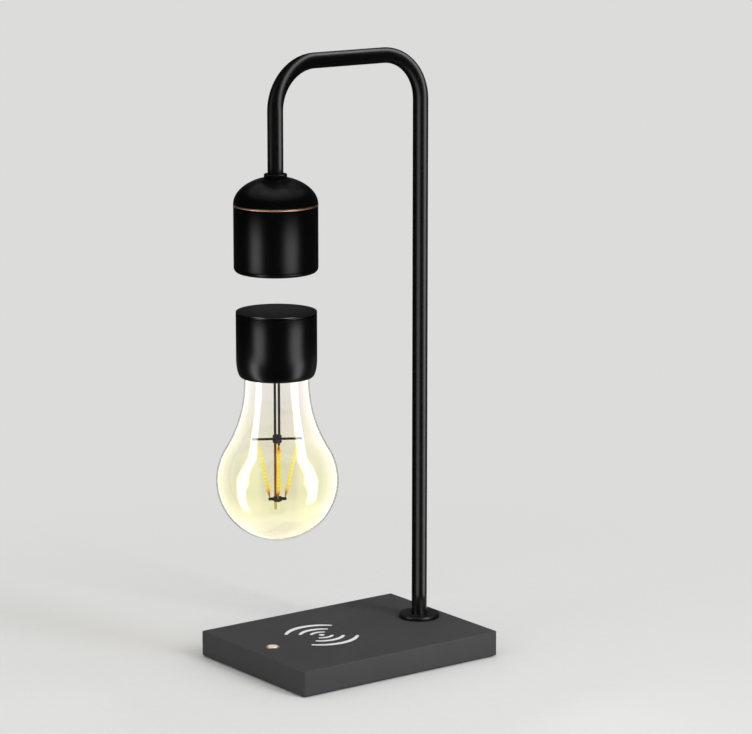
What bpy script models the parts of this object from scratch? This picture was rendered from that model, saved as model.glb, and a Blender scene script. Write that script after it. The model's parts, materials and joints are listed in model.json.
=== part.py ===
"""Levitating lamp: a flat base, a bent tube, a magnet head and a light bulb that floats below the head.

Lengths are in metres and +Z is up. The origin is the centre of the pad's underside, where the lamp
stands. +X runs along the base from the button to the post, and the head hangs over the button end.
Heights named here are heights above the table, unless their comment says otherwise.
"""
import math

import bmesh
import bpy
from mathutils import Matrix, Vector

# Fits
GAP = 0.0003  # left between two pieces that touch
OVERRUN = 0.001  # how far a cutter runs past what it cuts
JOIN_OVERLAP = 0.0004  # how far a joined shape sinks into the one that carries it

# Facets round one turn
LARGE_SIDES = 32
MEDIUM_SIDES = 20
SMALL_SIDES = 12
FINE_SIDES = 8
SHARP_ANGLE = math.radians(35)  # edges sharper than this stay sharp
ROUND_PROFILE = 0.5  # of a bevel that makes a round edge

# Base: housing, cover and pad
BASE_LENGTH = 0.155
BASE_WIDTH = 0.116
BASE_TOP = 0.017
BASE_CORNER_RADIUS = 0.0016
BASE_EDGE_RADIUS = 0.001
HOUSING_WALL = 0.002
CAVITY_CORNER_RADIUS = 0.001
PAD_THICKNESS = 0.0005
PAD_INSET = 0.0015
COVER_THICKNESS = 0.0016

# Base screws and their bosses
SCREW_DIAMETER = 0.003
SCREW_HEAD_DIAMETER = 0.0056
SCREW_HEAD_HEIGHT = 0.0012
SCREW_LENGTH = 0.009
SCREW_INSET = 0.009  # from the base's outer faces
BOSS_DIAMETER = 0.007
PAD_HOLE_MARGIN = 0.0008  # round a screw's head

# Inside the base
BALLAST_THICKNESS = 0.003
BALLAST_SIDE_ROOM = 0.006
CHARGE_FROM_END = 0.057  # centre of the charging coil, from the button end
CHARGING_COIL_DIAMETER = 0.044
CHARGING_COIL_EYE = 0.017
CHARGING_COIL_THICKNESS = 0.0012
FERRITE_SIDE = 0.05
FERRITE_THICKNESS = 0.0008
BOARD_THICKNESS = 0.0016
BOARD_ROOM = 0.002  # between a board and what lies beside it
BOARD_BOSS_ROOM = 0.001  # between the main board and the screw bosses
MAIN_BOARD_LENGTH = 0.06
MAIN_BOARD_POST_ROOM = 0.0125  # from the post's axis to the board's near edge
MAIN_BOARD_POST_HEIGHT = 0.0012
BOARD_POST_DIAMETER = 0.004
BOARD_POST_INSET = 0.004
CABLE_SOCKET_LENGTH = 0.006
CABLE_SOCKET_WIDTH = 0.005
CABLE_SOCKET_HEIGHT = 0.004
CABLE_SOCKET_FROM_POST = 0.0195

# Power inlet
JACK_LENGTH = 0.012
JACK_WIDTH = 0.0076
JACK_HEIGHT = 0.0062
JACK_NOSE_DIAMETER = 0.0058
JACK_BORE_DIAMETER = 0.0042
JACK_BORE_DEPTH = 0.0095
JACK_PIN_DIAMETER = 0.0013
JACK_PIN_SETBACK = 0.001

# Power button and its switch
BUTTON_FROM_END = 0.0165
BUTTON_DIAMETER = 0.0064
BUTTON_PROUD = 0.0005
BUTTON_EDGE_RADIUS = 0.0004
BUTTON_LIP_WIDTH = 0.0012
BUTTON_LIP_THICKNESS = 0.0008
BUTTON_STEM_DIAMETER = 0.0036
BUTTON_STEM_LENGTH = 0.0016
BUTTON_TRAVEL = 0.0008
BEZEL_WIDTH = 0.0008
BEZEL_PROUD = 0.0003
PLUNGER_DIAMETER = 0.0028
PLUNGER_LENGTH = 0.0022
PLUNGER_STOP_ROOM = 0.0002  # that a full press leaves above the switch
SWITCH_SIDE = 0.006
SWITCH_HEIGHT = 0.0035
BUTTON_BOARD_LENGTH = 0.016
BUTTON_BOARD_WIDTH = 0.014

# Bent tube and what clamps it
TUBE_DIAMETER = 0.01
TUBE_WALL = 0.001
TUBE_BEND_RADIUS = 0.03  # at the centre line
TUBE_BEND_STEPS = 8
TUBE_SIDES = 16
POST_FROM_END = 0.02
ARM_SPAN = 0.114
DROP_STRAIGHT = 0.0389  # between the head's collar and the bend above it
TUBE_THREAD_RUN = 0.001  # how far the tube's ends run past their nuts
FLANGE_DIAMETER = 0.0268
FLANGE_THICKNESS = 0.0026
FLANGE_EDGE_RADIUS = 0.0012
WASHER_DIAMETER = 0.02
WASHER_THICKNESS = 0.001
NUT_ACROSS_FLATS = 0.014
NUT_THICKNESS = 0.003
NUT_SIDES = 6

# Cable inside the tube
CABLE_DIAMETER = 0.0024
CABLE_DROP = 0.0072  # how hard the cable turns down out of the tube
CABLE_SWEEP = 0.013  # how far it straightens before its socket
CABLE_CURVE_STEPS = 12
CABLE_BEVEL_STEPS = 2

# Head
HEAD_DIAMETER = 0.0534
HEAD_BOTTOM = 0.2608
HEAD_WALL = 0.0016
HEAD_FLOOR = 0.0018
HEAD_FILLET = 0.0035
HEAD_FILLET_STEPS = 4
HEAD_INNER_FILLET_STEPS = 2
SLEEVE_HEIGHT = 0.042
TRIM_THICKNESS = 0.0012
TRIM_PROUD = 0.00015
DOME_HEIGHT = 0.0171  # of the full curve, before its top is cut flat
DOME_FULLNESS = 1.9  # 2 is an ellipse, and a larger number is squarer
DOME_SEAT_DIAMETER = 0.017
DOME_STEPS = 7
DOME_INNER_STEPS = 4
DOME_WEB = 0.0016
SPIGOT_DEPTH = 0.007
SPIGOT_WALL = 0.0014
COLLAR_DIAMETER = 0.0146
COLLAR_THICKNESS = 0.0024
COLLAR_EDGE_RADIUS = 0.0006
HEAD_WASHER_DIAMETER = 0.016
POWER_COIL_EYE = 0.024
POWER_COIL_THICKNESS = 0.0018
HEAD_BOARD_THICKNESS = 0.0012
SENSOR_LENGTH = 0.004
SENSOR_HEIGHT = 0.0014
BOBBIN_FLANGE_THICKNESS = 0.0015
BOBBIN_BARREL_WALL = 0.0022
BOBBIN_SIDE_ROOM = 0.0016  # between the bobbin and the sleeve
BOBBIN_POST_HEIGHT = 0.0045
BOBBIN_POST_DIAMETER = 0.003
BOBBIN_POST_COUNT = 3
WINDING_SINK = 0.001  # how far the winding lies below the bobbin's flanges
CORE_DIAMETER = 0.013
CORE_HEAD_DIAMETER = 0.018
CORE_HEAD_THICKNESS = 0.0015
HEAD_SOCKET_LENGTH = 0.006
HEAD_SOCKET_HEIGHT = 0.004

# Floating bulb: cap and what it holds
FLOAT_GAP = 0.0246  # of air between the head and the bulb
BULB_TURN = math.radians(-30.5)  # the bulb may turn freely, and rests here
CAP_DIAMETER = 0.0514
CAP_HEIGHT = 0.0422
CAP_WALL = 0.0015
CAP_TAPER_HEIGHT = 0.012
CAP_TAPER_STEPS = 4
LID_THICKNESS = 0.0015
LID_EDGE_RADIUS = 0.0006
LID_SPIGOT_DEPTH = 0.002
LID_SPIGOT_WALL = 0.0012
MAGNET_DIAMETER = 0.026
MAGNET_THICKNESS = 0.006
CARRIER_WALL = 0.0015
CARRIER_FLOOR = 0.0015
CARRIER_COLLAR_HEIGHT = 0.004
RECEIVER_COIL_ROOM = 0.0018  # between the magnet's collar and the coil
RECEIVER_COIL_THICKNESS = 0.0024
BULB_BOARD_EDGE_ROOM = 0.001
BULB_BOARD_ROOM = 0.0092  # between the board and the glass

# Glass and the filament mount
GLASS_DIAMETER = 0.078
GLASS_LENGTH = 0.106  # below the cap
GLASS_LOWER_DEPTH = 0.0384  # from the widest height to the lowest point
GLASS_WALL = 0.001
NECK_DIAMETER = 0.0414
NECK_STRAIGHT = 0.003  # below the cap, before the shoulder starts
NECK_IN_CAP = 0.01
SHOULDER_STEPS = 6
SHOULDER_JOIN_STEPS = 2
GLASS_LOWER_STEPS = 7
FLARE_DROP = 0.001  # of the flare's rim, below the neck's end
FLARE_HEIGHT = 0.005
FLARE_WALL = 0.001
PINCH_DIAMETER = 0.0064
PINCH_HEIGHT = 0.003
ROD_DIAMETER = 0.0016
ROD_SPACING = 0.0026
ROD_TIP = 0.0053  # below the lower hub
SPIDER_ABOVE_CENTRE = 0.0269  # above the glass's widest height
SPIDER_HUB_DIAMETER = 0.0058
SPIDER_HUB_HEIGHT = 0.005
SPIDER_REACH = 0.016
SPIDER_ARM_DIAMETER = 0.0016
LOWER_HUB_BELOW_CENTRE = 0.0122
LOWER_HUB_DIAMETER = 0.0056
LOWER_HUB_HEIGHT = 0.003
LOWER_HUB_REACH = 0.0058
LOWER_ARM_DIAMETER = 0.002
ARM_COUNT = 4
FILAMENT_DIAMETER = 0.0024
FILAMENT_TOP_RADIUS = 0.013  # from the bulb's axis
FILAMENT_FOOT_RADIUS = 0.005
FILAMENT_PIN_DIAMETER = 0.0009
FILAMENT_PIN_LENGTH = 0.0034

# Parts soldered on the boards, as shares of the board's length, its width and the room above it:
# centre along, centre across, length, width, height
MAIN_BOARD_PART_SHARES = (
    (-0.36, 0.24, 0.16, 0.26, 0.28),
    (-0.12, 0.26, 0.14, 0.22, 0.5),
    (0.1, 0.26, 0.12, 0.2, 0.85),
    (-0.36, -0.14, 0.12, 0.24, 0.2),
    (0.3, 0.36, 0.14, 0.12, 0.4),
)
# The same on the round boards, as shares of the board's radius and of the room beside it
HEAD_BOARD_PART_SHARES = (
    (0.56, 0.0, 0.3, 0.34, 0.8),
    (-0.52, 0.3, 0.28, 0.28, 0.6),
    (-0.4, -0.46, 0.34, 0.22, 0.35),
)
BULB_BOARD_PART_SHARES = (
    (0.5, 0.2, 0.3, 0.4, 0.6),
    (-0.5, 0.0, 0.26, 0.36, 0.4),
    (0.0, -0.56, 0.4, 0.24, 0.3),
)

# Heights and places that follow from the sizes above
COVER_BOTTOM = PAD_THICKNESS + GAP
COVER_TOP = COVER_BOTTOM + COVER_THICKNESS
CEILING = BASE_TOP - HOUSING_WALL
TUBE_RADIUS = TUBE_DIAMETER / 2
TUBE_HOLE_RADIUS = TUBE_RADIUS + GAP
POST_X = BASE_LENGTH / 2 - POST_FROM_END
HEAD_X = POST_X - ARM_SPAN
BUTTON_X = BUTTON_FROM_END - BASE_LENGTH / 2
CHARGE_X = CHARGE_FROM_END - BASE_LENGTH / 2

WASHER_BOTTOM = CEILING - GAP - WASHER_THICKNESS
NUT_TOP = WASHER_BOTTOM - GAP
TUBE_FOOT = NUT_TOP - NUT_THICKNESS - TUBE_THREAD_RUN

FERRITE_BOTTOM = CEILING - GAP - CHARGING_COIL_THICKNESS - GAP - FERRITE_THICKNESS
MAIN_BOARD_BOTTOM = COVER_TOP + MAIN_BOARD_POST_HEIGHT + GAP
MAIN_BOARD_TOP = MAIN_BOARD_BOTTOM + BOARD_THICKNESS
MAIN_BOARD_BACK = BASE_WIDTH / 2 - SCREW_INSET - BOSS_DIAMETER / 2 - BOARD_BOSS_ROOM
MAIN_BOARD_WIDTH = MAIN_BOARD_BACK - MAIN_BOARD_POST_ROOM
MAIN_BOARD_END = BASE_LENGTH / 2 - HOUSING_WALL - GAP
MAIN_BOARD_X = MAIN_BOARD_END - MAIN_BOARD_LENGTH / 2
MAIN_BOARD_Y = MAIN_BOARD_POST_ROOM + MAIN_BOARD_WIDTH / 2
CABLE_SOCKET_X = POST_X - CABLE_SOCKET_FROM_POST
JACK_Z = MAIN_BOARD_TOP + GAP + JACK_HEIGHT / 2

BUTTON_RADIUS = BUTTON_DIAMETER / 2
BEZEL_INNER_RADIUS = BUTTON_RADIUS + GAP
BEZEL_OUTER_RADIUS = BEZEL_INNER_RADIUS + BEZEL_WIDTH
LIP_TOP = CEILING - GAP
LIP_BOTTOM = LIP_TOP - BUTTON_LIP_THICKNESS
BUTTON_STEM_BOTTOM = LIP_BOTTOM - BUTTON_STEM_LENGTH
PLUNGER_TOP = BUTTON_STEM_BOTTOM - GAP
SWITCH_TOP = PLUNGER_TOP - BUTTON_TRAVEL - PLUNGER_STOP_ROOM
SWITCH_BOTTOM = SWITCH_TOP - SWITCH_HEIGHT
BUTTON_BOARD_TOP = SWITCH_BOTTOM - GAP
BUTTON_BOARD_BOTTOM = BUTTON_BOARD_TOP - BOARD_THICKNESS

HEAD_RADIUS = HEAD_DIAMETER / 2
SLEEVE_INNER_RADIUS = HEAD_RADIUS - HEAD_WALL
SLEEVE_TOP = HEAD_BOTTOM + SLEEVE_HEIGHT
TRIM_BOTTOM = SLEEVE_TOP + GAP
TRIM_TOP = TRIM_BOTTOM + TRIM_THICKNESS
DOME_BOTTOM = TRIM_TOP + GAP
DOME_SEAT_RADIUS = DOME_SEAT_DIAMETER / 2
DOME_SEAT_SHARE = (1 - (DOME_SEAT_RADIUS / HEAD_RADIUS) ** DOME_FULLNESS) ** (1 / DOME_FULLNESS)
DOME_TOP = DOME_BOTTOM + DOME_HEIGHT * DOME_SEAT_SHARE
DOME_CEILING = DOME_TOP - HEAD_WALL
SPIGOT_BOTTOM = DOME_BOTTOM - SPIGOT_DEPTH
SPIGOT_OUTER_RADIUS = SLEEVE_INNER_RADIUS - GAP
HEAD_WASHER_BOTTOM = DOME_CEILING - GAP - WASHER_THICKNESS
HEAD_NUT_TOP = HEAD_WASHER_BOTTOM - GAP
TUBE_HEAD_END = HEAD_NUT_TOP - NUT_THICKNESS - TUBE_THREAD_RUN
BEND_HEIGHT = DOME_TOP + GAP + COLLAR_THICKNESS + DROP_STRAIGHT  # of the two bends' centres

HEAD_BOARD_TOP = SPIGOT_BOTTOM - GAP
HEAD_BOARD_BOTTOM = HEAD_BOARD_TOP - HEAD_BOARD_THICKNESS
HEAD_BOARD_RADIUS = SLEEVE_INNER_RADIUS - 2 * GAP
POWER_COIL_BOTTOM = HEAD_BOTTOM + HEAD_FLOOR + GAP
POWER_COIL_RADIUS = HEAD_RADIUS - HEAD_FILLET - GAP
SENSOR_BOARD_BOTTOM = POWER_COIL_BOTTOM + POWER_COIL_THICKNESS + GAP
SENSOR_BOARD_TOP = SENSOR_BOARD_BOTTOM + HEAD_BOARD_THICKNESS
BOBBIN_BOTTOM = SENSOR_BOARD_TOP + GAP
BOBBIN_TOP = HEAD_BOARD_BOTTOM - GAP - BOBBIN_POST_HEIGHT
BOBBIN_RADIUS = SLEEVE_INNER_RADIUS - BOBBIN_SIDE_ROOM
CORE_RADIUS = CORE_DIAMETER / 2
BARREL_RADIUS = CORE_RADIUS + GAP + BOBBIN_BARREL_WALL
HEAD_CABLE_END = HEAD_BOARD_TOP + HEAD_SOCKET_HEIGHT + GAP

BULB_TOP = HEAD_BOTTOM - FLOAT_GAP
CAP_RADIUS = CAP_DIAMETER / 2
CAP_INNER_RADIUS = CAP_RADIUS - CAP_WALL
CAP_BOTTOM = BULB_TOP - CAP_HEIGHT
LID_BOTTOM = BULB_TOP - LID_THICKNESS
LID_SPIGOT_BOTTOM = LID_BOTTOM - LID_SPIGOT_DEPTH
CAP_TOP = LID_BOTTOM - GAP
MAGNET_RADIUS = MAGNET_DIAMETER / 2
MAGNET_TOP = LID_BOTTOM - GAP
MAGNET_BOTTOM = MAGNET_TOP - MAGNET_THICKNESS
CARRIER_RADIUS = CAP_INNER_RADIUS - GAP
CARRIER_FLOOR_TOP = MAGNET_BOTTOM - GAP
CARRIER_FLOOR_BOTTOM = CARRIER_FLOOR_TOP - CARRIER_FLOOR
CARRIER_TOP = LID_SPIGOT_BOTTOM - GAP
NECK_RADIUS = NECK_DIAMETER / 2
NECK_TOP = CAP_BOTTOM + NECK_IN_CAP
BULB_BOARD_BOTTOM = NECK_TOP + BULB_BOARD_ROOM
BULB_BOARD_TOP = BULB_BOARD_BOTTOM + BOARD_THICKNESS
BULB_BOARD_RADIUS = CAP_INNER_RADIUS - BULB_BOARD_EDGE_ROOM
CARRIER_BOTTOM = BULB_BOARD_TOP + GAP

SHOULDER_TOP = CAP_BOTTOM - NECK_STRAIGHT
GLASS_RADIUS = GLASS_DIAMETER / 2
GLASS_BOTTOM = CAP_BOTTOM - GLASS_LENGTH
GLASS_CENTRE = GLASS_BOTTOM + GLASS_LOWER_DEPTH
FLARE_TOP = NECK_TOP - FLARE_DROP
FLARE_BOTTOM = FLARE_TOP - FLARE_HEIGHT
PINCH_BOTTOM = FLARE_BOTTOM - PINCH_HEIGHT
ROD_TOP = BULB_BOARD_BOTTOM - GAP
SPIDER_Z = GLASS_CENTRE + SPIDER_ABOVE_CENTRE
LOWER_HUB_Z = GLASS_CENTRE - LOWER_HUB_BELOW_CENTRE
FILAMENT_TOP = SPIDER_Z - SPIDER_ARM_DIAMETER / 2 - GAP
FILAMENT_FOOT = LOWER_HUB_Z + LOWER_ARM_DIAMETER / 2 + GAP


def clear_scene():
    """Remove whatever the file opened with."""
    for old in list(bpy.data.objects):
        bpy.data.objects.remove(old, do_unlink=True)


def add_empty(name, location, turn=0.0):
    """An empty that other objects are placed from."""
    empty = bpy.data.objects.new(name, None)
    empty.location = location
    empty.rotation_euler = (0.0, 0.0, turn)
    bpy.context.collection.objects.link(empty)
    return empty


def add_object(name, data, parent=None):
    """Link a mesh or a curve as an object, below its parent if it has one."""
    obj = bpy.data.objects.new(name, data)
    bpy.context.collection.objects.link(obj)
    obj.parent = parent
    return obj


def add_mesh(name, bm, parent=None):
    """Turn a bmesh into an object with smooth round faces and sharp corners."""
    bmesh.ops.recalc_face_normals(bm, faces=bm.faces)
    mesh = bpy.data.meshes.new(name)
    bm.to_mesh(mesh)
    bm.free()
    mesh.shade_smooth()
    mesh.set_sharp_from_angle(angle=SHARP_ANGLE)
    return add_object(name, mesh, parent)


def as_helper(obj):
    """Keep a cutter or a joined shape out of the finished lamp."""
    obj.hide_render = True
    obj.display_type = "WIRE"
    return obj


def cut(obj, helper):
    """Take the helper's shape away from the object."""
    modifier = obj.modifiers.new("cut_" + helper.name, "BOOLEAN")
    modifier.operation = "DIFFERENCE"
    modifier.solver = "EXACT"
    modifier.object = as_helper(helper)


def join(obj, helper):
    """Add the helper's shape to the object."""
    modifier = obj.modifiers.new("join_" + helper.name, "BOOLEAN")
    modifier.operation = "UNION"
    modifier.solver = "EXACT"
    modifier.object = as_helper(helper)


def paint(obj, colour, roughness, metallic=0.0, alpha=1.0, glow=0.0):
    """Give the object its own material."""
    material = bpy.data.materials.new(obj.name + "_finish")
    material.use_nodes = True
    shader = material.node_tree.nodes["Principled BSDF"]
    shader.inputs["Base Color"].default_value = (*colour, 1.0)
    shader.inputs["Roughness"].default_value = roughness
    shader.inputs["Metallic"].default_value = metallic
    shader.inputs["Alpha"].default_value = alpha
    shader.inputs["Emission Color"].default_value = (*colour, 1.0)
    shader.inputs["Emission Strength"].default_value = glow
    obj.data.materials.append(material)
    return obj


def arc(centre, radii, start, end, steps):
    """Points (radius, height) along part of an ellipse, with angles in degrees."""
    points = []
    for i in range(steps + 1):
        angle = math.radians(start + (end - start) * i / steps)
        points.append((centre[0] + radii[0] * math.cos(angle), centre[1] + radii[1] * math.sin(angle)))
    return points


def dome_arc(radius, height, start, end, steps):
    """Points along the dome's curve, which is fuller than an ellipse, between two angles in radians."""
    points = []
    for i in range(steps + 1):
        angle = start + (end - start) * i / steps
        out = math.cos(angle) ** (2 / DOME_FULLNESS)
        rise = math.sin(angle) ** (2 / DOME_FULLNESS)
        points.append((radius * out, DOME_BOTTOM + height * rise))
    return points


def dome_angle(rise_share):
    """Angle at which the dome's curve has risen by a share of its full height."""
    return math.asin(rise_share ** (DOME_FULLNESS / 2))


def disc(radius, bottom, top):
    """Outline of a solid disc."""
    return [(0.0, top), (radius, top), (radius, bottom), (0.0, bottom)]


def ring(inner, outer, bottom, top):
    """Outline of a ring of rectangular section."""
    return [(inner, top), (outer, top), (outer, bottom), (inner, bottom)]


def turned(name, outline, sides, parent=None):
    """Turn an outline of (radius, height) points about the vertical axis."""
    bm = bmesh.new()
    points = [bm.verts.new((radius, 0.0, height)) for radius, height in outline]
    edges = [bm.edges.new(pair) for pair in zip(points, points[1:])]
    if outline[0][0] > 0.0:
        edges.append(bm.edges.new((points[-1], points[0])))
    bmesh.ops.spin(
        bm,
        geom=points + edges,
        cent=(0.0, 0.0, 0.0),
        axis=(0.0, 0.0, 1.0),
        angle=math.tau,
        steps=sides,
        use_merge=True,
    )
    bmesh.ops.remove_doubles(bm, verts=bm.verts, dist=GAP / 100)
    return add_mesh(name, bm, parent)


def plate(name, low, high, corner=0.0, edge=0.0, parent=None):
    """A box between two corners, with round upright edges and a round top edge where asked."""
    bm = bmesh.new()
    size = Vector(high) - Vector(low)
    middle = (Vector(high) + Vector(low)) / 2
    bmesh.ops.create_cube(bm, size=1.0, matrix=Matrix.Translation(middle) @ Matrix.Diagonal((*size, 1.0)))
    if corner:
        uprights = [e for e in bm.edges if abs(e.verts[0].co.z - e.verts[1].co.z) > size.z / 2]
        bmesh.ops.bevel(bm, geom=uprights, offset=corner, segments=4, profile=ROUND_PROFILE, affect="EDGES")
    if edge:
        rim = [e for e in bm.edges if min(v.co.z for v in e.verts) > high[2] - size.z / 2]
        bmesh.ops.bevel(bm, geom=rim, offset=edge, segments=3, profile=ROUND_PROFILE, affect="EDGES")
    return add_mesh(name, bm, parent)


def boxes(name, bounds, parent=None):
    """One mesh of several boxes, each given by its low and high corner."""
    bm = bmesh.new()
    for low, high in bounds:
        size = Vector(high) - Vector(low)
        middle = (Vector(high) + Vector(low)) / 2
        matrix = Matrix.Translation(middle) @ Matrix.Diagonal((*size, 1.0))
        bmesh.ops.create_cube(bm, size=1.0, matrix=matrix)
    return add_mesh(name, bm, parent)


def cylinders(name, places, radius, bottom, top, sides, parent=None):
    """One mesh of upright cylinders at the (x, y) places."""
    bm = bmesh.new()
    for x, y in places:
        bmesh.ops.create_cone(
            bm,
            cap_ends=True,
            segments=sides,
            radius1=radius,
            radius2=radius,
            depth=top - bottom,
            matrix=Matrix.Translation((x, y, (top + bottom) / 2)),
        )
    return add_mesh(name, bm, parent)


def rod_along(name, start, end, radius, sides, parent=None):
    """A round rod between two points."""
    start, end = Vector(start), Vector(end)
    bm = bmesh.new()
    turn = (end - start).to_track_quat("Z", "Y").to_matrix().to_4x4()
    bmesh.ops.create_cone(
        bm,
        cap_ends=True,
        segments=sides,
        radius1=radius,
        radius2=radius,
        depth=(end - start).length,
        matrix=Matrix.Translation((start + end) / 2) @ turn,
    )
    return add_mesh(name, bm, parent)


def screw_places():
    """Centres of the four base screws."""
    along = BASE_LENGTH / 2 - SCREW_INSET
    across = BASE_WIDTH / 2 - SCREW_INSET
    return [(x, y) for x in (-along, along) for y in (-across, across)]


def main_board_post_places():
    """Where the cover's posts hold the main board."""
    along = MAIN_BOARD_LENGTH / 2 - BOARD_POST_INSET
    across = MAIN_BOARD_WIDTH / 2 - BOARD_POST_INSET
    return [(MAIN_BOARD_X + x, MAIN_BOARD_Y + y) for x in (-along, along) for y in (-across, across)]


def button_board_post_places():
    """Where the cover's posts hold the button's board."""
    across = BUTTON_BOARD_WIDTH / 2 - BOARD_POST_DIAMETER / 2
    return [(BUTTON_X, -across), (BUTTON_X, across)]


def make_housing(parent):
    """Base housing: a moulded tray turned over, with its screw bosses and its three openings."""
    half = Vector((BASE_LENGTH / 2, BASE_WIDTH / 2))
    housing = plate(
        "base_housing",
        (-half.x, -half.y, COVER_BOTTOM),
        (half.x, half.y, BASE_TOP),
        BASE_CORNER_RADIUS,
        BASE_EDGE_RADIUS,
        parent,
    )
    room = half - Vector((HOUSING_WALL, HOUSING_WALL))
    low = (-room.x, -room.y, COVER_BOTTOM - OVERRUN)
    high = (room.x, room.y, CEILING)
    cut(housing, plate("housing_cavity", low, high, CAVITY_CORNER_RADIUS, 0.0, parent))
    boss_bottom = COVER_TOP + GAP
    boss_top = CEILING + JOIN_OVERLAP
    bosses = cylinders(
        "housing_bosses", screw_places(), BOSS_DIAMETER / 2, boss_bottom, boss_top, SMALL_SIDES, parent
    )
    join(housing, bosses)
    pilot_radius = SCREW_DIAMETER / 2 + GAP
    pilot_top = COVER_BOTTOM + SCREW_LENGTH + GAP
    pilots = cylinders(
        "boss_pilots", screw_places(), pilot_radius, boss_bottom - OVERRUN, pilot_top, SMALL_SIDES, parent
    )
    cut(housing, pilots)
    holes = ((POST_X, TUBE_HOLE_RADIUS, "post_hole"), (BUTTON_X, BEZEL_OUTER_RADIUS + GAP, "button_hole"))
    for x, radius, name in holes:
        hole = cylinders(
            name, [(x, 0.0)], radius, CEILING - OVERRUN, BASE_TOP + OVERRUN, MEDIUM_SIDES, parent
        )
        cut(housing, hole)
    outside = (half.x + OVERRUN, MAIN_BOARD_Y, JACK_Z)
    inside = (half.x - HOUSING_WALL - OVERRUN, MAIN_BOARD_Y, JACK_Z)
    nose_hole = rod_along(
        "jack_hole", inside, outside, JACK_NOSE_DIAMETER / 2 + GAP, MEDIUM_SIDES, parent
    )
    cut(housing, nose_hole)
    paint(housing, (0.055, 0.056, 0.058), 0.55)


def make_cover(parent):
    """Base cover, held in the housing's mouth by four countersunk screws."""
    along = BASE_LENGTH / 2 - HOUSING_WALL - GAP
    across = BASE_WIDTH / 2 - HOUSING_WALL - GAP
    low = (-along, -across, COVER_BOTTOM)
    high = (along, across, COVER_TOP)
    cover = plate("base_cover", low, high, CAVITY_CORNER_RADIUS, 0.0, parent)
    post_bottom = COVER_TOP - JOIN_OVERLAP
    main_posts = cylinders(
        "main_board_posts",
        main_board_post_places(),
        BOARD_POST_DIAMETER / 2,
        post_bottom,
        MAIN_BOARD_BOTTOM - GAP,
        SMALL_SIDES,
        parent,
    )
    join(cover, main_posts)
    button_posts = cylinders(
        "button_board_posts",
        button_board_post_places(),
        BOARD_POST_DIAMETER / 2,
        post_bottom,
        BUTTON_BOARD_BOTTOM - GAP,
        SMALL_SIDES,
        parent,
    )
    join(cover, button_posts)
    shank = SCREW_DIAMETER / 2 + GAP
    head = SCREW_HEAD_DIAMETER / 2 + GAP
    slope = (head - shank) / SCREW_HEAD_HEIGHT
    sink_bottom = COVER_BOTTOM - OVERRUN
    sink_top = COVER_BOTTOM + SCREW_HEAD_HEIGHT
    outline = [
        (0.0, COVER_TOP + OVERRUN),
        (shank, COVER_TOP + OVERRUN),
        (shank, sink_top),
        (head + slope * OVERRUN, sink_bottom),
        (0.0, sink_bottom),
    ]
    for number, (x, y) in enumerate(screw_places(), 1):
        sink = turned(f"cover_sink_{number}", outline, SMALL_SIDES, parent)
        sink.location = (x, y, 0.0)
        cut(cover, sink)
    paint(cover, (0.03, 0.03, 0.032), 0.6)


def make_pad(parent):
    """Anti-slip pad under the whole base, with a hole below each screw."""
    along = BASE_LENGTH / 2 - PAD_INSET
    across = BASE_WIDTH / 2 - PAD_INSET
    low = (-along, -across, 0.0)
    pad = plate("anti_slip_pad", low, (along, across, PAD_THICKNESS), BASE_CORNER_RADIUS, 0.0, parent)
    radius = SCREW_HEAD_DIAMETER / 2 + PAD_HOLE_MARGIN
    holes = cylinders(
        "pad_holes", screw_places(), radius, -OVERRUN, PAD_THICKNESS + OVERRUN, SMALL_SIDES, parent
    )
    cut(pad, holes)
    paint(pad, (0.02, 0.02, 0.02), 0.9)


def make_base_screws(parent):
    """Four countersunk screws, up through the cover into the housing's bosses."""
    shank = SCREW_DIAMETER / 2
    outline = [
        (0.0, COVER_BOTTOM + SCREW_LENGTH),
        (shank, COVER_BOTTOM + SCREW_LENGTH),
        (shank, COVER_BOTTOM + SCREW_HEAD_HEIGHT),
        (SCREW_HEAD_DIAMETER / 2, COVER_BOTTOM),
        (0.0, COVER_BOTTOM),
    ]
    for number, (x, y) in enumerate(screw_places(), 1):
        screw = turned(f"base_screw_{number}", outline, SMALL_SIDES, parent)
        screw.location = (x, y, 0.0)
        paint(screw, (0.35, 0.35, 0.36), 0.35, 1.0)


def make_ballast(parent):
    """Steel plate on the cover, between the two boards."""
    left = BUTTON_X + BUTTON_BOARD_LENGTH / 2 + BOARD_ROOM
    right = MAIN_BOARD_X - MAIN_BOARD_LENGTH / 2 - BOARD_ROOM
    across = BASE_WIDTH / 2 - HOUSING_WALL - BALLAST_SIDE_ROOM
    bottom = COVER_TOP + GAP
    low = (left, -across, bottom)
    high = (right, across, bottom + BALLAST_THICKNESS)
    ballast = plate("ballast_plate", low, high, BASE_CORNER_RADIUS, 0.0, parent)
    paint(ballast, (0.3, 0.3, 0.31), 0.45, 1.0)


def make_charging_coil(parent):
    """Flat charging coil under the mark on the base, with its ferrite below it."""
    top = CEILING - GAP
    bottom = top - CHARGING_COIL_THICKNESS
    outline = ring(CHARGING_COIL_EYE / 2, CHARGING_COIL_DIAMETER / 2, bottom, top)
    coil = turned("charging_coil", outline, MEDIUM_SIDES, parent)
    coil.location = (CHARGE_X, 0.0, 0.0)
    paint(coil, (0.6, 0.25, 0.1), 0.35, 1.0)
    half = FERRITE_SIDE / 2
    low = (CHARGE_X - half, -half, FERRITE_BOTTOM)
    high = (CHARGE_X + half, half, FERRITE_BOTTOM + FERRITE_THICKNESS)
    paint(plate("charging_ferrite", low, high, 0.0, 0.0, parent), (0.03, 0.03, 0.035), 0.5)


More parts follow.
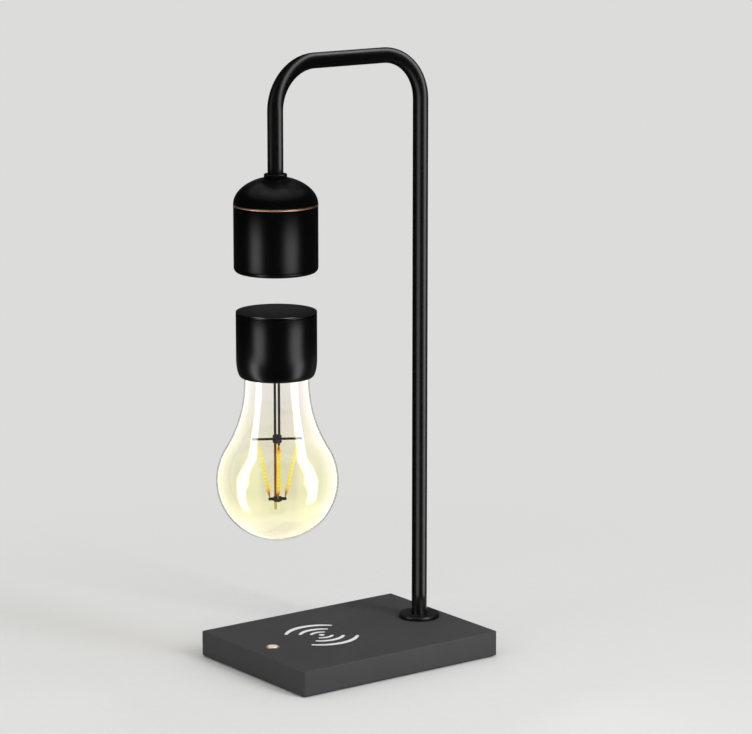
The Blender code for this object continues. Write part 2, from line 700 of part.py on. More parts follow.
def board_parts(name, shares, size, centre, board_face, room, parent):
    """Boxes for what is soldered to a board, on the side where the room is (below if negative)."""
    bounds = []
    root = board_face - math.copysign(JOIN_OVERLAP, room)
    for along, across, length, width, height in shares:
        x = centre[0] + along * size[0]
        y = centre[1] + across * size[1]
        reach = board_face + height * room
        low = (x - length * size[0] / 2, y - width * size[1] / 2, min(root, reach))
        high = (x + length * size[0] / 2, y + width * size[1] / 2, max(root, reach))
        bounds.append((low, high))
    return boxes(name, bounds, parent)


def make_main_board(parent):
    """Main circuit board, with its soldered parts and the socket of the stem's cable."""
    size = (MAIN_BOARD_LENGTH, MAIN_BOARD_WIDTH)
    centre = (MAIN_BOARD_X, MAIN_BOARD_Y)
    low = (centre[0] - size[0] / 2, centre[1] - size[1] / 2, MAIN_BOARD_BOTTOM)
    high = (centre[0] + size[0] / 2, centre[1] + size[1] / 2, MAIN_BOARD_TOP)
    board = plate("main_circuit_board", low, high, 0.0, 0.0, parent)
    room = FERRITE_BOTTOM - GAP - MAIN_BOARD_TOP
    soldered = board_parts(
        "main_board_parts", MAIN_BOARD_PART_SHARES, size, centre, MAIN_BOARD_TOP, room, parent
    )
    join(board, soldered)
    socket_low = (CABLE_SOCKET_X - CABLE_SOCKET_LENGTH / 2, low[1], MAIN_BOARD_TOP - JOIN_OVERLAP)
    socket_high = (
        CABLE_SOCKET_X + CABLE_SOCKET_LENGTH / 2,
        low[1] + CABLE_SOCKET_WIDTH,
        MAIN_BOARD_TOP + CABLE_SOCKET_HEIGHT,
    )
    join(board, boxes("main_board_socket", [(socket_low, socket_high)], parent))
    paint(board, (0.02, 0.12, 0.05), 0.5)


def make_jack(parent):
    """Power inlet: a moulded body with a round nose, a bore and the contact pin in it."""
    outside = BASE_LENGTH / 2
    body_end = outside - HOUSING_WALL - GAP
    low = (body_end - JACK_LENGTH, MAIN_BOARD_Y - JACK_WIDTH / 2, JACK_Z - JACK_HEIGHT / 2)
    high = (body_end, MAIN_BOARD_Y + JACK_WIDTH / 2, JACK_Z + JACK_HEIGHT / 2)
    jack = plate("dc_jack", low, high, 0.0, 0.0, parent)

    def along(name, start, end, radius):
        return rod_along(
            name, (start, MAIN_BOARD_Y, JACK_Z), (end, MAIN_BOARD_Y, JACK_Z), radius, SMALL_SIDES, parent
        )

    bore_end = outside - JACK_BORE_DEPTH
    join(jack, along("jack_nose", body_end - JOIN_OVERLAP, outside, JACK_NOSE_DIAMETER / 2))
    cut(jack, along("jack_bore", bore_end, outside + OVERRUN, JACK_BORE_DIAMETER / 2))
    pin_end = outside - JACK_PIN_SETBACK
    join(jack, along("jack_pin", bore_end - JOIN_OVERLAP, pin_end, JACK_PIN_DIAMETER / 2))
    paint(jack, (0.015, 0.015, 0.016), 0.4)


def make_button(parent):
    """Power button with its lip, the bezel round it, and the switch that returns it."""
    outline = [(0.0, BASE_TOP + BUTTON_PROUD)]
    edge = (BUTTON_RADIUS - BUTTON_EDGE_RADIUS, BASE_TOP + BUTTON_PROUD - BUTTON_EDGE_RADIUS)
    outline += arc(edge, (BUTTON_EDGE_RADIUS, BUTTON_EDGE_RADIUS), 90, 0, 2)
    lip_radius = BUTTON_RADIUS + BUTTON_LIP_WIDTH
    stem_radius = BUTTON_STEM_DIAMETER / 2
    outline += [
        (BUTTON_RADIUS, LIP_TOP),
        (lip_radius, LIP_TOP),
        (lip_radius, LIP_BOTTOM),
        (stem_radius, LIP_BOTTOM),
        (stem_radius, BUTTON_STEM_BOTTOM),
        (0.0, BUTTON_STEM_BOTTOM),
    ]
    button = turned("power_button", outline, MEDIUM_SIDES, parent)
    paint(button, (0.86, 0.78, 0.7), 0.3)
    rim = ring(BEZEL_INNER_RADIUS, BEZEL_OUTER_RADIUS, CEILING, BASE_TOP + BEZEL_PROUD)
    bezel = turned("button_bezel", rim, MEDIUM_SIDES, parent)
    paint(bezel, (0.5, 0.25, 0.16), 0.25, 1.0)
    plunger_bottom = PLUNGER_TOP - PLUNGER_LENGTH
    plunger = turned(
        "switch_plunger", disc(PLUNGER_DIAMETER / 2, plunger_bottom, PLUNGER_TOP), SMALL_SIDES, parent
    )
    paint(plunger, (0.02, 0.02, 0.02), 0.4)
    half = SWITCH_SIDE / 2
    switch = plate("tact_switch", (-half, -half, SWITCH_BOTTOM), (half, half, SWITCH_TOP), 0.0, 0.0, parent)
    well_bottom = plunger_bottom - BUTTON_TRAVEL - GAP
    well = cylinders(
        "switch_well",
        [(0.0, 0.0)],
        PLUNGER_DIAMETER / 2 + GAP,
        well_bottom,
        SWITCH_TOP + OVERRUN,
        SMALL_SIDES,
        parent,
    )
    cut(switch, well)
    paint(switch, (0.05, 0.05, 0.05), 0.4)
    along = BUTTON_BOARD_LENGTH / 2
    across = BUTTON_BOARD_WIDTH / 2
    low = (-along, -across, BUTTON_BOARD_BOTTOM)
    board = plate("button_board", low, (along, across, BUTTON_BOARD_TOP), 0.0, 0.0, parent)
    paint(board, (0.02, 0.12, 0.05), 0.5)


def stem_path(foot, end):
    """Centre line of the bent tube: (point, direction) pairs from the foot up and over to the head."""
    path =[(Vector((POST_X, 0.0, foot)), Vector((0.0, 0.0, 1.0)))]
    turns = ((POST_X - TUBE_BEND_RADIUS, 0.0), (HEAD_X + TUBE_BEND_RADIUS, 90.0))
    for centre_x, start in turns:
        for i in range(TUBE_BEND_STEPS + 1):
            angle = math.radians(start + 90.0 * i / TUBE_BEND_STEPS)
            outwards = Vector((math.cos(angle), 0.0, math.sin(angle)))
            point = Vector((centre_x, 0.0, BEND_HEIGHT)) + TUBE_BEND_RADIUS * outwards
            path.append((point, Vector((-outwards.z, 0.0, outwards.x))))
    path.append((Vector((HEAD_X, 0.0, end)), Vector((0.0, 0.0, -1.0))))
    return path


def make_tube():
    """The bent tube: rings of points along its centre line, bridged outside and inside."""
    bm = bmesh.new()
    across = Vector((0.0, 1.0, 0.0))
    rows = []
    for point, direction in stem_path(TUBE_FOOT, TUBE_HEAD_END):
        side = direction.cross(across)
        row = []
        for radius in (TUBE_RADIUS, TUBE_RADIUS - TUBE_WALL):
            loop = []
            for i in range(TUBE_SIDES):
                angle = math.tau * i / TUBE_SIDES
                outwards = math.cos(angle) * side + math.sin(angle) * across
                loop.append(bm.verts.new(point + radius * outwards))
            row.append(loop)
        rows.append(row)
    for i in range(TUBE_SIDES):
        j = (i + 1) % TUBE_SIDES
        for here, there in zip(rows, rows[1:]):
            for layer in (0, 1):
                bm.faces.new((here[layer][i], here[layer][j], there[layer][j], there[layer][i]))
        for outer, inner in (rows[0], rows[-1]):
            bm.faces.new((outer[i], outer[j], inner[j], inner[i]))
    tube = add_mesh("stem_tube", bm)
    paint(tube, (0.012, 0.012, 0.013), 0.3, 0.5)


def cable_route():
    """Points of the cable: out of its socket in the base, through the tube, down to the head's socket."""
    mouth = Vector((CABLE_SOCKET_X, MAIN_BOARD_POST_ROOM - GAP, MAIN_BOARD_TOP + CABLE_SOCKET_HEIGHT / 2))
    foot = Vector((POST_X, 0.0, TUBE_FOOT))
    before_mouth = mouth - Vector((0.0, CABLE_SWEEP, 0.0))
    below_foot = foot - Vector((0.0, 0.0, CABLE_DROP))
    points = []
    for i in range(CABLE_CURVE_STEPS):
        t = i / CABLE_CURVE_STEPS
        s = 1.0 - t
        points.append(s**3 * mouth + 3 * s * s * t * before_mouth + 3 * s * t * t * below_foot + t**3 * foot)
    points += [point for point, _ in stem_path(TUBE_FOOT, HEAD_CABLE_END)]
    return points


def make_cable():
    """The cable inside the tube, as a curve with a round section."""
    curve = bpy.data.curves.new("stem_cable", "CURVE")
    curve.dimensions = "3D"
    curve.bevel_depth = CABLE_DIAMETER / 2
    curve.bevel_resolution = CABLE_BEVEL_STEPS
    curve.use_fill_caps = True
    route = cable_route()
    spline = curve.splines.new("POLY")
    spline.points.add(len(route) - 1)
    for place, point in zip(spline.points, route):
        place.co = (*point, 1.0)
    paint(add_object("stem_cable", curve), (0.02, 0.02, 0.02), 0.6)


def make_washer_and_nut(prefix, washer_diameter, washer_bottom, nut_top, parent):
    """Washer and thin hexagon nut that clamp one end of the tube."""
    outline = ring(TUBE_HOLE_RADIUS, washer_diameter / 2, washer_bottom, washer_bottom + WASHER_THICKNESS)
    washer = turned(prefix + "_washer", outline, MEDIUM_SIDES, parent)
    paint(washer, (0.5, 0.5, 0.5), 0.3, 1.0)
    corner_radius = NUT_ACROSS_FLATS / 2 / math.cos(math.pi / NUT_SIDES)
    nut_bottom = nut_top - NUT_THICKNESS
    name = prefix + "_lock_nut"
    nut = cylinders(name, [(0.0, 0.0)], corner_radius, nut_bottom, nut_top, NUT_SIDES, parent)
    bore = cylinders(
        prefix + "_nut_bore",
        [(0.0, 0.0)],
        TUBE_HOLE_RADIUS,
        nut_bottom - OVERRUN,
        nut_top + OVERRUN,
        MEDIUM_SIDES,
        parent,
    )
    cut(nut, bore)
    paint(nut, (0.5, 0.5, 0.5), 0.3, 1.0)


def make_flange(parent):
    """Round flange that hides the post's hole in the housing."""
    bottom = BASE_TOP + GAP
    top = bottom + FLANGE_THICKNESS
    radius = FLANGE_DIAMETER / 2
    corner = (radius - FLANGE_EDGE_RADIUS, top - FLANGE_EDGE_RADIUS)
    outline = [(TUBE_HOLE_RADIUS, top)]
    outline += arc(corner, (FLANGE_EDGE_RADIUS, FLANGE_EDGE_RADIUS), 90, 0, 3)
    outline += [(radius, bottom), (TUBE_HOLE_RADIUS, bottom)]
    flange = turned("post_flange", outline, MEDIUM_SIDES + SMALL_SIDES, parent)
    paint(flange, (0.015, 0.015, 0.016), 0.25, 0.5)


def make_head_shells(parent):
    """Head: sleeve with its rounded floor, copper-coloured trim ring, dome and collar."""
    floor = HEAD_BOTTOM + HEAD_FLOOR
    inner_fillet = HEAD_FILLET - HEAD_WALL
    inner_corner = (SLEEVE_INNER_RADIUS - inner_fillet, floor + inner_fillet)
    outline = [(0.0, floor)]
    outline += arc(inner_corner, (inner_fillet, inner_fillet), -90, 0, HEAD_INNER_FILLET_STEPS)
    outline += [(SLEEVE_INNER_RADIUS, SLEEVE_TOP), (HEAD_RADIUS, SLEEVE_TOP)]
    corner = (HEAD_RADIUS - HEAD_FILLET, HEAD_BOTTOM + HEAD_FILLET)
    outline += arc(corner, (HEAD_FILLET, HEAD_FILLET), 0, -90, HEAD_FILLET_STEPS)
    outline.append((0.0, HEAD_BOTTOM))
    paint(turned("head_sleeve", outline, LARGE_SIDES, parent), (0.006, 0.006, 0.007), 0.3)

    trim_inner = SPIGOT_OUTER_RADIUS + GAP
    rim = ring(trim_inner, HEAD_RADIUS + TRIM_PROUD, TRIM_BOTTOM, TRIM_TOP)
    paint(turned("head_trim_ring", rim, LARGE_SIDES, parent), (0.62, 0.36, 0.22), 0.2, 1.0)

    outline = dome_arc(HEAD_RADIUS, DOME_HEIGHT, 0.0, dome_angle(DOME_SEAT_SHARE), DOME_STEPS)
    outline += [(TUBE_HOLE_RADIUS, DOME_TOP), (TUBE_HOLE_RADIUS, DOME_CEILING)]
    inner_height = DOME_HEIGHT - HEAD_WALL
    ceiling_angle = dome_angle((DOME_CEILING - DOME_BOTTOM) / inner_height)
    web_angle = dome_angle(DOME_WEB / inner_height)
    outline += dome_arc(SLEEVE_INNER_RADIUS, inner_height, ceiling_angle, web_angle, DOME_INNER_STEPS)
    spigot_inner = SPIGOT_OUTER_RADIUS - SPIGOT_WALL
    outline += [
        (spigot_inner, DOME_BOTTOM + DOME_WEB),
        (spigot_inner, SPIGOT_BOTTOM),
        (SPIGOT_OUTER_RADIUS, SPIGOT_BOTTOM),
        (SPIGOT_OUTER_RADIUS, DOME_BOTTOM),
    ]
    paint(turned("head_dome", outline, LARGE_SIDES, parent), (0.01, 0.01, 0.011), 0.35)

    bottom = DOME_TOP + GAP
    top = bottom + COLLAR_THICKNESS
    radius = COLLAR_DIAMETER / 2
    corner = (radius - COLLAR_EDGE_RADIUS, top - COLLAR_EDGE_RADIUS)
    outline = [(TUBE_HOLE_RADIUS, top)]
    outline += arc(corner, (COLLAR_EDGE_RADIUS, COLLAR_EDGE_RADIUS), 90, 0, 2)
    outline += [(radius, bottom), (TUBE_HOLE_RADIUS, bottom)]
    paint(turned("head_collar", outline, MEDIUM_SIDES, parent), (0.012, 0.012, 0.013), 0.3, 0.5)


def make_electromagnet(parent):
    """The lifting electromagnet: iron core, moulded bobbin and winding."""
    core_head_bottom = BOBBIN_TOP + GAP
    outline = [
        (0.0, core_head_bottom + CORE_HEAD_THICKNESS),
        (CORE_HEAD_DIAMETER / 2, core_head_bottom + CORE_HEAD_THICKNESS),
        (CORE_HEAD_DIAMETER / 2, core_head_bottom),
        (CORE_RADIUS, core_head_bottom),
        (CORE_RADIUS, BOBBIN_BOTTOM),
        (0.0, BOBBIN_BOTTOM),
    ]
    paint(turned("magnet_core", outline, MEDIUM_SIDES, parent), (0.25, 0.25, 0.26), 0.4, 1.0)

    bore = CORE_RADIUS + GAP
    upper = BOBBIN_TOP - BOBBIN_FLANGE_THICKNESS
    lower = BOBBIN_BOTTOM + BOBBIN_FLANGE_THICKNESS
    outline = [
        (bore, BOBBIN_TOP),
        (BOBBIN_RADIUS, BOBBIN_TOP),
        (BOBBIN_RADIUS, upper),
        (BARREL_RADIUS, upper),
        (BARREL_RADIUS, lower),
        (BOBBIN_RADIUS, lower),
        (BOBBIN_RADIUS, BOBBIN_BOTTOM),
        (bore, BOBBIN_BOTTOM),
    ]
    bobbin = turned("magnet_bobbin", outline, MEDIUM_SIDES, parent)
    distance = BOBBIN_RADIUS - BOBBIN_POST_DIAMETER
    places = []
    for i in range(BOBBIN_POST_COUNT):
        angle = math.tau * (i + 0.5) / BOBBIN_POST_COUNT
        places.append((distance * math.cos(angle), distance * math.sin(angle)))
    posts = cylinders(
        "bobbin_posts",
        places,
        BOBBIN_POST_DIAMETER / 2,
        BOBBIN_TOP - JOIN_OVERLAP,
        HEAD_BOARD_BOTTOM - GAP,
        SMALL_SIDES,
        parent,
    )
    join(bobbin, posts)
    paint(bobbin, (0.03, 0.03, 0.03), 0.5)

    outline = ring(BARREL_RADIUS + GAP, BOBBIN_RADIUS - WINDING_SINK, lower + GAP, upper - GAP)
    paint(turned("magnet_coil", outline, MEDIUM_SIDES, parent), (0.6, 0.25, 0.1), 0.35, 1.0)


def make_head_electronics(parent):
    """Power coil on the head's floor, sensor board above it, and the head's circuit board on top."""
    outline = ring(
        POWER_COIL_EYE / 2,
        POWER_COIL_RADIUS,
        POWER_COIL_BOTTOM,
        POWER_COIL_BOTTOM + POWER_COIL_THICKNESS,
    )
    paint(turned("power_coil", outline, MEDIUM_SIDES, parent), (0.6, 0.25, 0.1), 0.35, 1.0)

    outline = disc(HEAD_BOARD_RADIUS, SENSOR_BOARD_BOTTOM, SENSOR_BOARD_TOP)
    board = turned("hall_sensor_board", outline, MEDIUM_SIDES, parent)
    half = SENSOR_LENGTH / 2
    low = (-half, -half, SENSOR_BOARD_BOTTOM - SENSOR_HEIGHT)
    high = (half, half, SENSOR_BOARD_BOTTOM + JOIN_OVERLAP)
    join(board, boxes("hall_sensor", [(low, high)], parent))
    paint(board, (0.02, 0.12, 0.05), 0.5)

    outline = disc(HEAD_BOARD_RADIUS, HEAD_BOARD_BOTTOM, HEAD_BOARD_TOP)
    board = turned("head_circuit_board", outline, MEDIUM_SIDES, parent)
    spigot_inner = SPIGOT_OUTER_RADIUS - SPIGOT_WALL
    room = DOME_BOTTOM - HEAD_BOARD_TOP
    soldered = board_parts(
        "head_board_parts",
        HEAD_BOARD_PART_SHARES,
        (spigot_inner, spigot_inner),
        (0.0, 0.0),
        HEAD_BOARD_TOP,
        room,
        parent,
    )
    join(board, soldered)
    half = HEAD_SOCKET_LENGTH / 2
    low = (-half, -half, HEAD_BOARD_TOP - JOIN_OVERLAP)
    high = (half, half, HEAD_BOARD_TOP + HEAD_SOCKET_HEIGHT)
    join(board, boxes("head_socket", [(low, high)], parent))
    paint(board, (0.02, 0.12, 0.05), 0.5)


def make_bulb_cap(parent):
    """The bulb's black cap and its lid."""
    taper = NECK_RADIUS + GAP + CAP_WALL
    sweep = CAP_RADIUS - taper
    taper_top = CAP_BOTTOM + CAP_TAPER_HEIGHT
    outline = [(CAP_INNER_RADIUS, CAP_TOP), (CAP_RADIUS, CAP_TOP)]
    outline += arc((taper, taper_top), (sweep, CAP_TAPER_HEIGHT), 0, -90, CAP_TAPER_STEPS)
    inner = taper - CAP_WALL
    outline += arc((inner, taper_top), (sweep, CAP_TAPER_HEIGHT), -90, 0, CAP_TAPER_STEPS)
    paint(turned("bulb_cap", outline, LARGE_SIDES, parent), (0.006, 0.006, 0.007), 0.3)

    spigot_outer = CAP_INNER_RADIUS - GAP
    spigot_inner = spigot_outer - LID_SPIGOT_WALL
    corner = (CAP_RADIUS - LID_EDGE_RADIUS, BULB_TOP - LID_EDGE_RADIUS)
    outline = [(0.0, BULB_TOP)]
    outline += arc(corner, (LID_EDGE_RADIUS, LID_EDGE_RADIUS), 90, 0, 2)
    outline += [
        (CAP_RADIUS, LID_BOTTOM),
        (spigot_outer, LID_BOTTOM),
        (spigot_outer, LID_SPIGOT_BOTTOM),
        (spigot_inner, LID_SPIGOT_BOTTOM),
        (spigot_inner, LID_BOTTOM),
        (0.0, LID_BOTTOM),
    ]
    paint(turned("bulb_cap_lid", outline, LARGE_SIDES, parent), (0.02, 0.02, 0.021), 0.4)


def make_bulb_electronics(parent):
    """What the cap holds: magnet, its carrier, the receiver coil and the bulb's circuit board."""
    magnet = turned("lifting_magnet", disc(MAGNET_RADIUS, MAGNET_BOTTOM, MAGNET_TOP), MEDIUM_SIDES, parent)
    paint(magnet, (0.5, 0.5, 0.52), 0.2, 1.0)

    collar_inner = MAGNET_RADIUS + GAP
    collar_outer = collar_inner + CARRIER_WALL
    wall_inner = CARRIER_RADIUS - CARRIER_WALL
    collar_top = CARRIER_FLOOR_TOP + CARRIER_COLLAR_HEIGHT
    outline = [
        (0.0, CARRIER_FLOOR_TOP),
        (collar_inner, CARRIER_FLOOR_TOP),
        (collar_inner, collar_top),
        (collar_outer, collar_top),
        (collar_outer, CARRIER_FLOOR_TOP),
        (wall_inner, CARRIER_FLOOR_TOP),
        (wall_inner, CARRIER_TOP),
        (CARRIER_RADIUS, CARRIER_TOP),
        (CARRIER_RADIUS, CARRIER_BOTTOM),
        (wall_inner, CARRIER_BOTTOM),
        (wall_inner, CARRIER_FLOOR_BOTTOM),
        (0.0, CARRIER_FLOOR_BOTTOM),
    ]
    paint(turned("magnet_carrier", outline, MEDIUM_SIDES, parent), (0.03, 0.03, 0.03), 0.5)

    coil_inner = collar_outer + RECEIVER_COIL_ROOM
    coil_bottom = CARRIER_FLOOR_TOP + GAP
    outline = ring(coil_inner, wall_inner - GAP, coil_bottom, coil_bottom + RECEIVER_COIL_THICKNESS)
    paint(turned("receiver_coil", outline, MEDIUM_SIDES, parent), (0.6, 0.25, 0.1), 0.35, 1.0)

    outline = disc(BULB_BOARD_RADIUS, BULB_BOARD_BOTTOM, BULB_BOARD_TOP)
    board = turned("bulb_circuit_board", outline, MEDIUM_SIDES, parent)
    room = NECK_TOP - BULB_BOARD_BOTTOM
    soldered = board_parts(
        "bulb_board_parts",
        BULB_BOARD_PART_SHARES,
        (NECK_RADIUS, NECK_RADIUS),
        (0.0, 0.0),
        BULB_BOARD_BOTTOM,
        room,
        parent,
    )
    join(board, soldered)
    paint(board, (0.02, 0.12, 0.05), 0.5)


def glass_outline(inset):
    """Outline of the blown bulb from its neck to its lowest point, drawn in by the inset.

    A concave shoulder arc runs from the straight neck and meets the round bulb at one tangent. Both
    centres stay put, so an inset leaves an even wall.
    """
    rise = SHOULDER_TOP - GLASS_CENTRE
    narrowing = GLASS_RADIUS - NECK_RADIUS
    shoulder = (rise**2 - GLASS_RADIUS**2 + NECK_RADIUS**2) / (2 * narrowing)
    centre = (NECK_RADIUS + shoulder, SHOULDER_TOP)
    meeting = math.degrees(math.atan2(rise, centre[0]))
    concave = shoulder + inset
    radius = GLASS_RADIUS - inset
    lower_depth = GLASS_LOWER_DEPTH - inset
    points = [(NECK_RADIUS - inset, NECK_TOP)]
    points += arc(centre, (concave, concave), 180, 180 + meeting, SHOULDER_STEPS)[:-1]
    points += arc((0.0, GLASS_CENTRE), (radius, radius), meeting, 0, SHOULDER_JOIN_STEPS)[:-1]
    points += arc((0.0, GLASS_CENTRE), (radius, lower_depth), 0, -90, GLASS_LOWER_STEPS)[:-1]
    points.append((0.0, GLASS_CENTRE - lower_depth))
    return points


def make_glass(parent):
    """The blown glass bulb, open at its neck."""
    outline = glass_outline(GLASS_WALL)[::-1] + glass_outline(0.0)
    glass = turned("glass_envelope", outline, LARGE_SIDES, parent)
    paint(glass, (0.95, 0.93, 0.85), 0.02, 0.0, 0.2)


def rod_places():
    """The two lead rods, side by side: the long one first."""
    return ((-ROD_SPACING / 2, 0.0), (ROD_SPACING / 2, 0.0))


def rod_holes(name, places, bottom, top, parent):
    """Cutter for the lead rods at the given places, with their clearance."""
    radius = ROD_DIAMETER / 2 + GAP
    return cylinders(name, places, radius, bottom - OVERRUN, top + OVERRUN, FINE_SIDES, parent)


def make_glass_stem(parent):
    """Glass flare inside the neck, ending in the pinch that the lead rods pass through."""
    rim = NECK_RADIUS - GLASS_WALL - GAP
    pinch = PINCH_DIAMETER / 2
    floor = FLARE_BOTTOM + FLARE_WALL
    outline = [
        (0.0, floor),
        (pinch, floor),
        (rim - FLARE_WALL, FLARE_TOP),
        (rim, FLARE_TOP),
        (rim, FLARE_TOP - FLARE_WALL),
        (pinch, FLARE_BOTTOM),
        (pinch, PINCH_BOTTOM),
        (0.0, PINCH_BOTTOM),
    ]
    stem = turned("glass_stem", outline, MEDIUM_SIDES, parent)
    cut(stem, rod_holes("pinch_holes", rod_places(), PINCH_BOTTOM, floor, parent))
    paint(stem, (0.9, 0.92, 0.9), 0.05, 0.0, 0.3)


def make_hub(name, places, height, hub_diameter, hub_height, reach, arm_diameter, parent):
    """A round hub with four arms, bored for the lead rods at the given places."""
    bottom = height - hub_height / 2
    top = height + hub_height / 2
    hub = turned(name, disc(hub_diameter / 2, bottom, top), SMALL_SIDES, parent)
    for i in range(ARM_COUNT // 2):
        angle = math.tau * i / ARM_COUNT
        tip = Vector((math.cos(angle), math.sin(angle), 0.0)) * reach
        middle = Vector((0.0, 0.0, height))
        bar = rod_along(
            f"{name}_bar_{i + 1}", middle - tip, middle + tip, arm_diameter / 2, FINE_SIDES, parent
        )
        join(hub, bar)
    cut(hub, rod_holes(name + "_holes", places, bottom, top, parent))
    paint(hub, (0.02, 0.015, 0.012), 0.5)


def make_filament_mount(parent):
    """Lead rods, the two hubs and the four filaments that lean in between them."""
    spider_top = SPIDER_Z + SPIDER_HUB_HEIGHT / 2
    foot = LOWER_HUB_Z - LOWER_HUB_HEIGHT / 2 - ROD_TIP
    rods = (("lead_rod_long", foot), ("lead_rod_short", SPIDER_Z - SPIDER_HUB_HEIGHT / 2))
    for (name, bottom), place in zip(rods, rod_places()):
        rod = cylinders(name, [place], ROD_DIAMETER / 2, bottom, ROD_TOP, FINE_SIDES, parent)
        paint(rod, (0.02, 0.015, 0.012), 0.5, 0.3)
    make_hub(
        "upper_spider",
        rod_places(),
        SPIDER_Z,
        SPIDER_HUB_DIAMETER,
        SPIDER_HUB_HEIGHT,
        SPIDER_REACH,
        SPIDER_ARM_DIAMETER,
        parent,
    )
    make_hub(
        "lower_hub",
        rod_places()[:1],
        LOWER_HUB_Z,
        LOWER_HUB_DIAMETER,
        LOWER_HUB_HEIGHT,
        LOWER_HUB_REACH,
        LOWER_ARM_DIAMETER,
        parent,
    )
    lean = FILAMENT_TOP_RADIUS - FILAMENT_FOOT_RADIUS
    length = math.hypot(lean, FILAMENT_TOP - FILAMENT_FOOT)
    pin = FILAMENT_PIN_DIAMETER / 2
    strip = FILAMENT_DIAMETER / 2
    outline = [
        (0.0, length),
        (pin, length),
        (pin, length - FILAMENT_PIN_LENGTH),
        (strip, length - FILAMENT_PIN_LENGTH),
        (strip, FILAMENT_PIN_LENGTH),
        (pin, FILAMENT_PIN_LENGTH),
        (pin, 0.0),
        (0.0, 0.0),
    ]
    tilt = math.atan2(lean, FILAMENT_TOP - FILAMENT_FOOT)
    for i in range(ARM_COUNT):
        filament = turned(f"filament_{i + 1}", outline, FINE_SIDES, parent)
        angle = math.tau * i / ARM_COUNT
        filament.location = (
            FILAMENT_FOOT_RADIUS * math.cos(angle),
            FILAMENT_FOOT_RADIUS * math.sin(angle),
            FILAMENT_FOOT,
        )
        filament.rotation_euler = (0.0, tilt, angle)
        paint(filament, (1.0, 0.72, 0.25), 0.5, 0.0, 1.0, 2.0)


def main():
    clear_scene()
    base = add_empty("base_frame", (0.0, 0.0, 0.0))
    post = add_empty("post_axis", (POST_X, 0.0, 0.0))
    button = add_empty("button_axis", (BUTTON_X, 0.0, 0.0))
    head = add_empty("head_axis", (HEAD_X, 0.0, 0.0))
    bulb = add_empty("bulb_axis", (HEAD_X, 0.0, 0.0), BULB_TURN)
    make_housing(base)
    make_cover(base)
    make_pad(base)
    make_base_screws(base)
    make_ballast(base)
    make_charging_coil(base)
    make_main_board(base)
    make_jack(base)
    make_button(button)
    make_flange(post)
    make_washer_and_nut("stem", WASHER_DIAMETER, WASHER_BOTTOM, NUT_TOP, post)
    make_tube()
    make_cable()
    make_head_shells(head)
    make_washer_and_nut("head", HEAD_WASHER_DIAMETER, HEAD_WASHER_BOTTOM, HEAD_NUT_TOP, head)
    make_electromagnet(head)
    make_head_electronics(head)
    make_bulb_cap(bulb)
    make_bulb_electronics(bulb)
    make_glass(bulb)
    make_glass_stem(bulb)
    make_filament_mount(bulb)


main()
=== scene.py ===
import functools
import json
import math

import bmesh
import bpy
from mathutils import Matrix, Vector


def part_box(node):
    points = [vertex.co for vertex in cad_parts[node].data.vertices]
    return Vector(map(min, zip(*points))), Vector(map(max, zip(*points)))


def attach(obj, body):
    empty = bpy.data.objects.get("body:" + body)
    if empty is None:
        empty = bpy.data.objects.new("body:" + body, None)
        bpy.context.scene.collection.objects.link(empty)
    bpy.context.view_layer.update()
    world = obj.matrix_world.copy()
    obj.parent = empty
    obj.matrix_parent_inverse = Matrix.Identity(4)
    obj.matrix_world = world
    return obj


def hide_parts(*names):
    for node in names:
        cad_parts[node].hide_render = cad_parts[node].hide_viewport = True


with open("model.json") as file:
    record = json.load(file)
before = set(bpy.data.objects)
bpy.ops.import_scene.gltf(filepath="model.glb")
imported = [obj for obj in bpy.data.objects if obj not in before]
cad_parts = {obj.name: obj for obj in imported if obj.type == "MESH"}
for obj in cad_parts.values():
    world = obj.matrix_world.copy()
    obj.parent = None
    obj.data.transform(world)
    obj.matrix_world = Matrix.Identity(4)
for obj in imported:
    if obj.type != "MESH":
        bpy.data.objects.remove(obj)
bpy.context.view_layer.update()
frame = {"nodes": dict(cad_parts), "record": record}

MM = 0.001
SIDES = 96  # facets round a large turned piece
SMALL_SIDES = 48
WIRE_SIDES = 20
SMOOTH_ANGLE = math.radians(32)  # edges sharper than this stay sharp
MERGE_REACH = 0.002 * MM  # points closer than this become one

# Sizes are in millimetres, and heights are above the floor. Upright axes are (x, y)
HEAD_AXIS = (-56.5, 0.0)
POST_AXIS = (57.5, 0.0)
BUTTON_AXIS = (-61.0, 0.0)
MARK_AXIS = (-20.0, 3.0)
INLET_AXIS = (28.5, 8.9)  # (y, z), along X
BASE_HALF = (77.5, 58.0)
BASE_FOOT = 0.8
BASE_TOP = 17.0
PRINT_DEPTH = 0.04
TUBE_RADIUS = 5.0
TUBE_WALL = 1.0
TUBE_END = 313.45  # inside the head
TUBE_HOLE = 5.3  # radius of each hole that the tube goes through
TUBE_FOOT, TUBE_TOP = (corner.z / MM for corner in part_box("stem_tube"))
BEND_RADIUS = 30.0
BEND_HEIGHT = TUBE_TOP - BEND_RADIUS - TUBE_RADIUS  # of the bends' centres
HEAD_RADIUS = 26.7
CUP_RADIUS = 25.1  # inside the head's cup
DOME_BOTTOM = 304.6
DOME_FULLNESS = 1.9  # 2 is an ellipse
CAP_RADIUS = 25.7
BELLY_HEIGHT = 126.4
BELLY_RADIUS = 39.0
BELLY_DEPTH = 38.4  # from the belly's height to the glass's lowest point
NECK_RADIUS = 20.7
NECK_HEIGHT = 191.0  # where the neck turns straight
GLASS_TOP = 204.0
GLASS_WALL = 1.0
FILAMENT_FOOT = 115.5
FILAMENT_TOP = 152.2
LEAD_OUT = 1.3  # from the bulb's axis to each lead
LEAD_HOLE = 1.1
HUB_HEIGHT = 114.2
BULB_TURN = math.radians(-30.5)  # of the filament mount about its axis

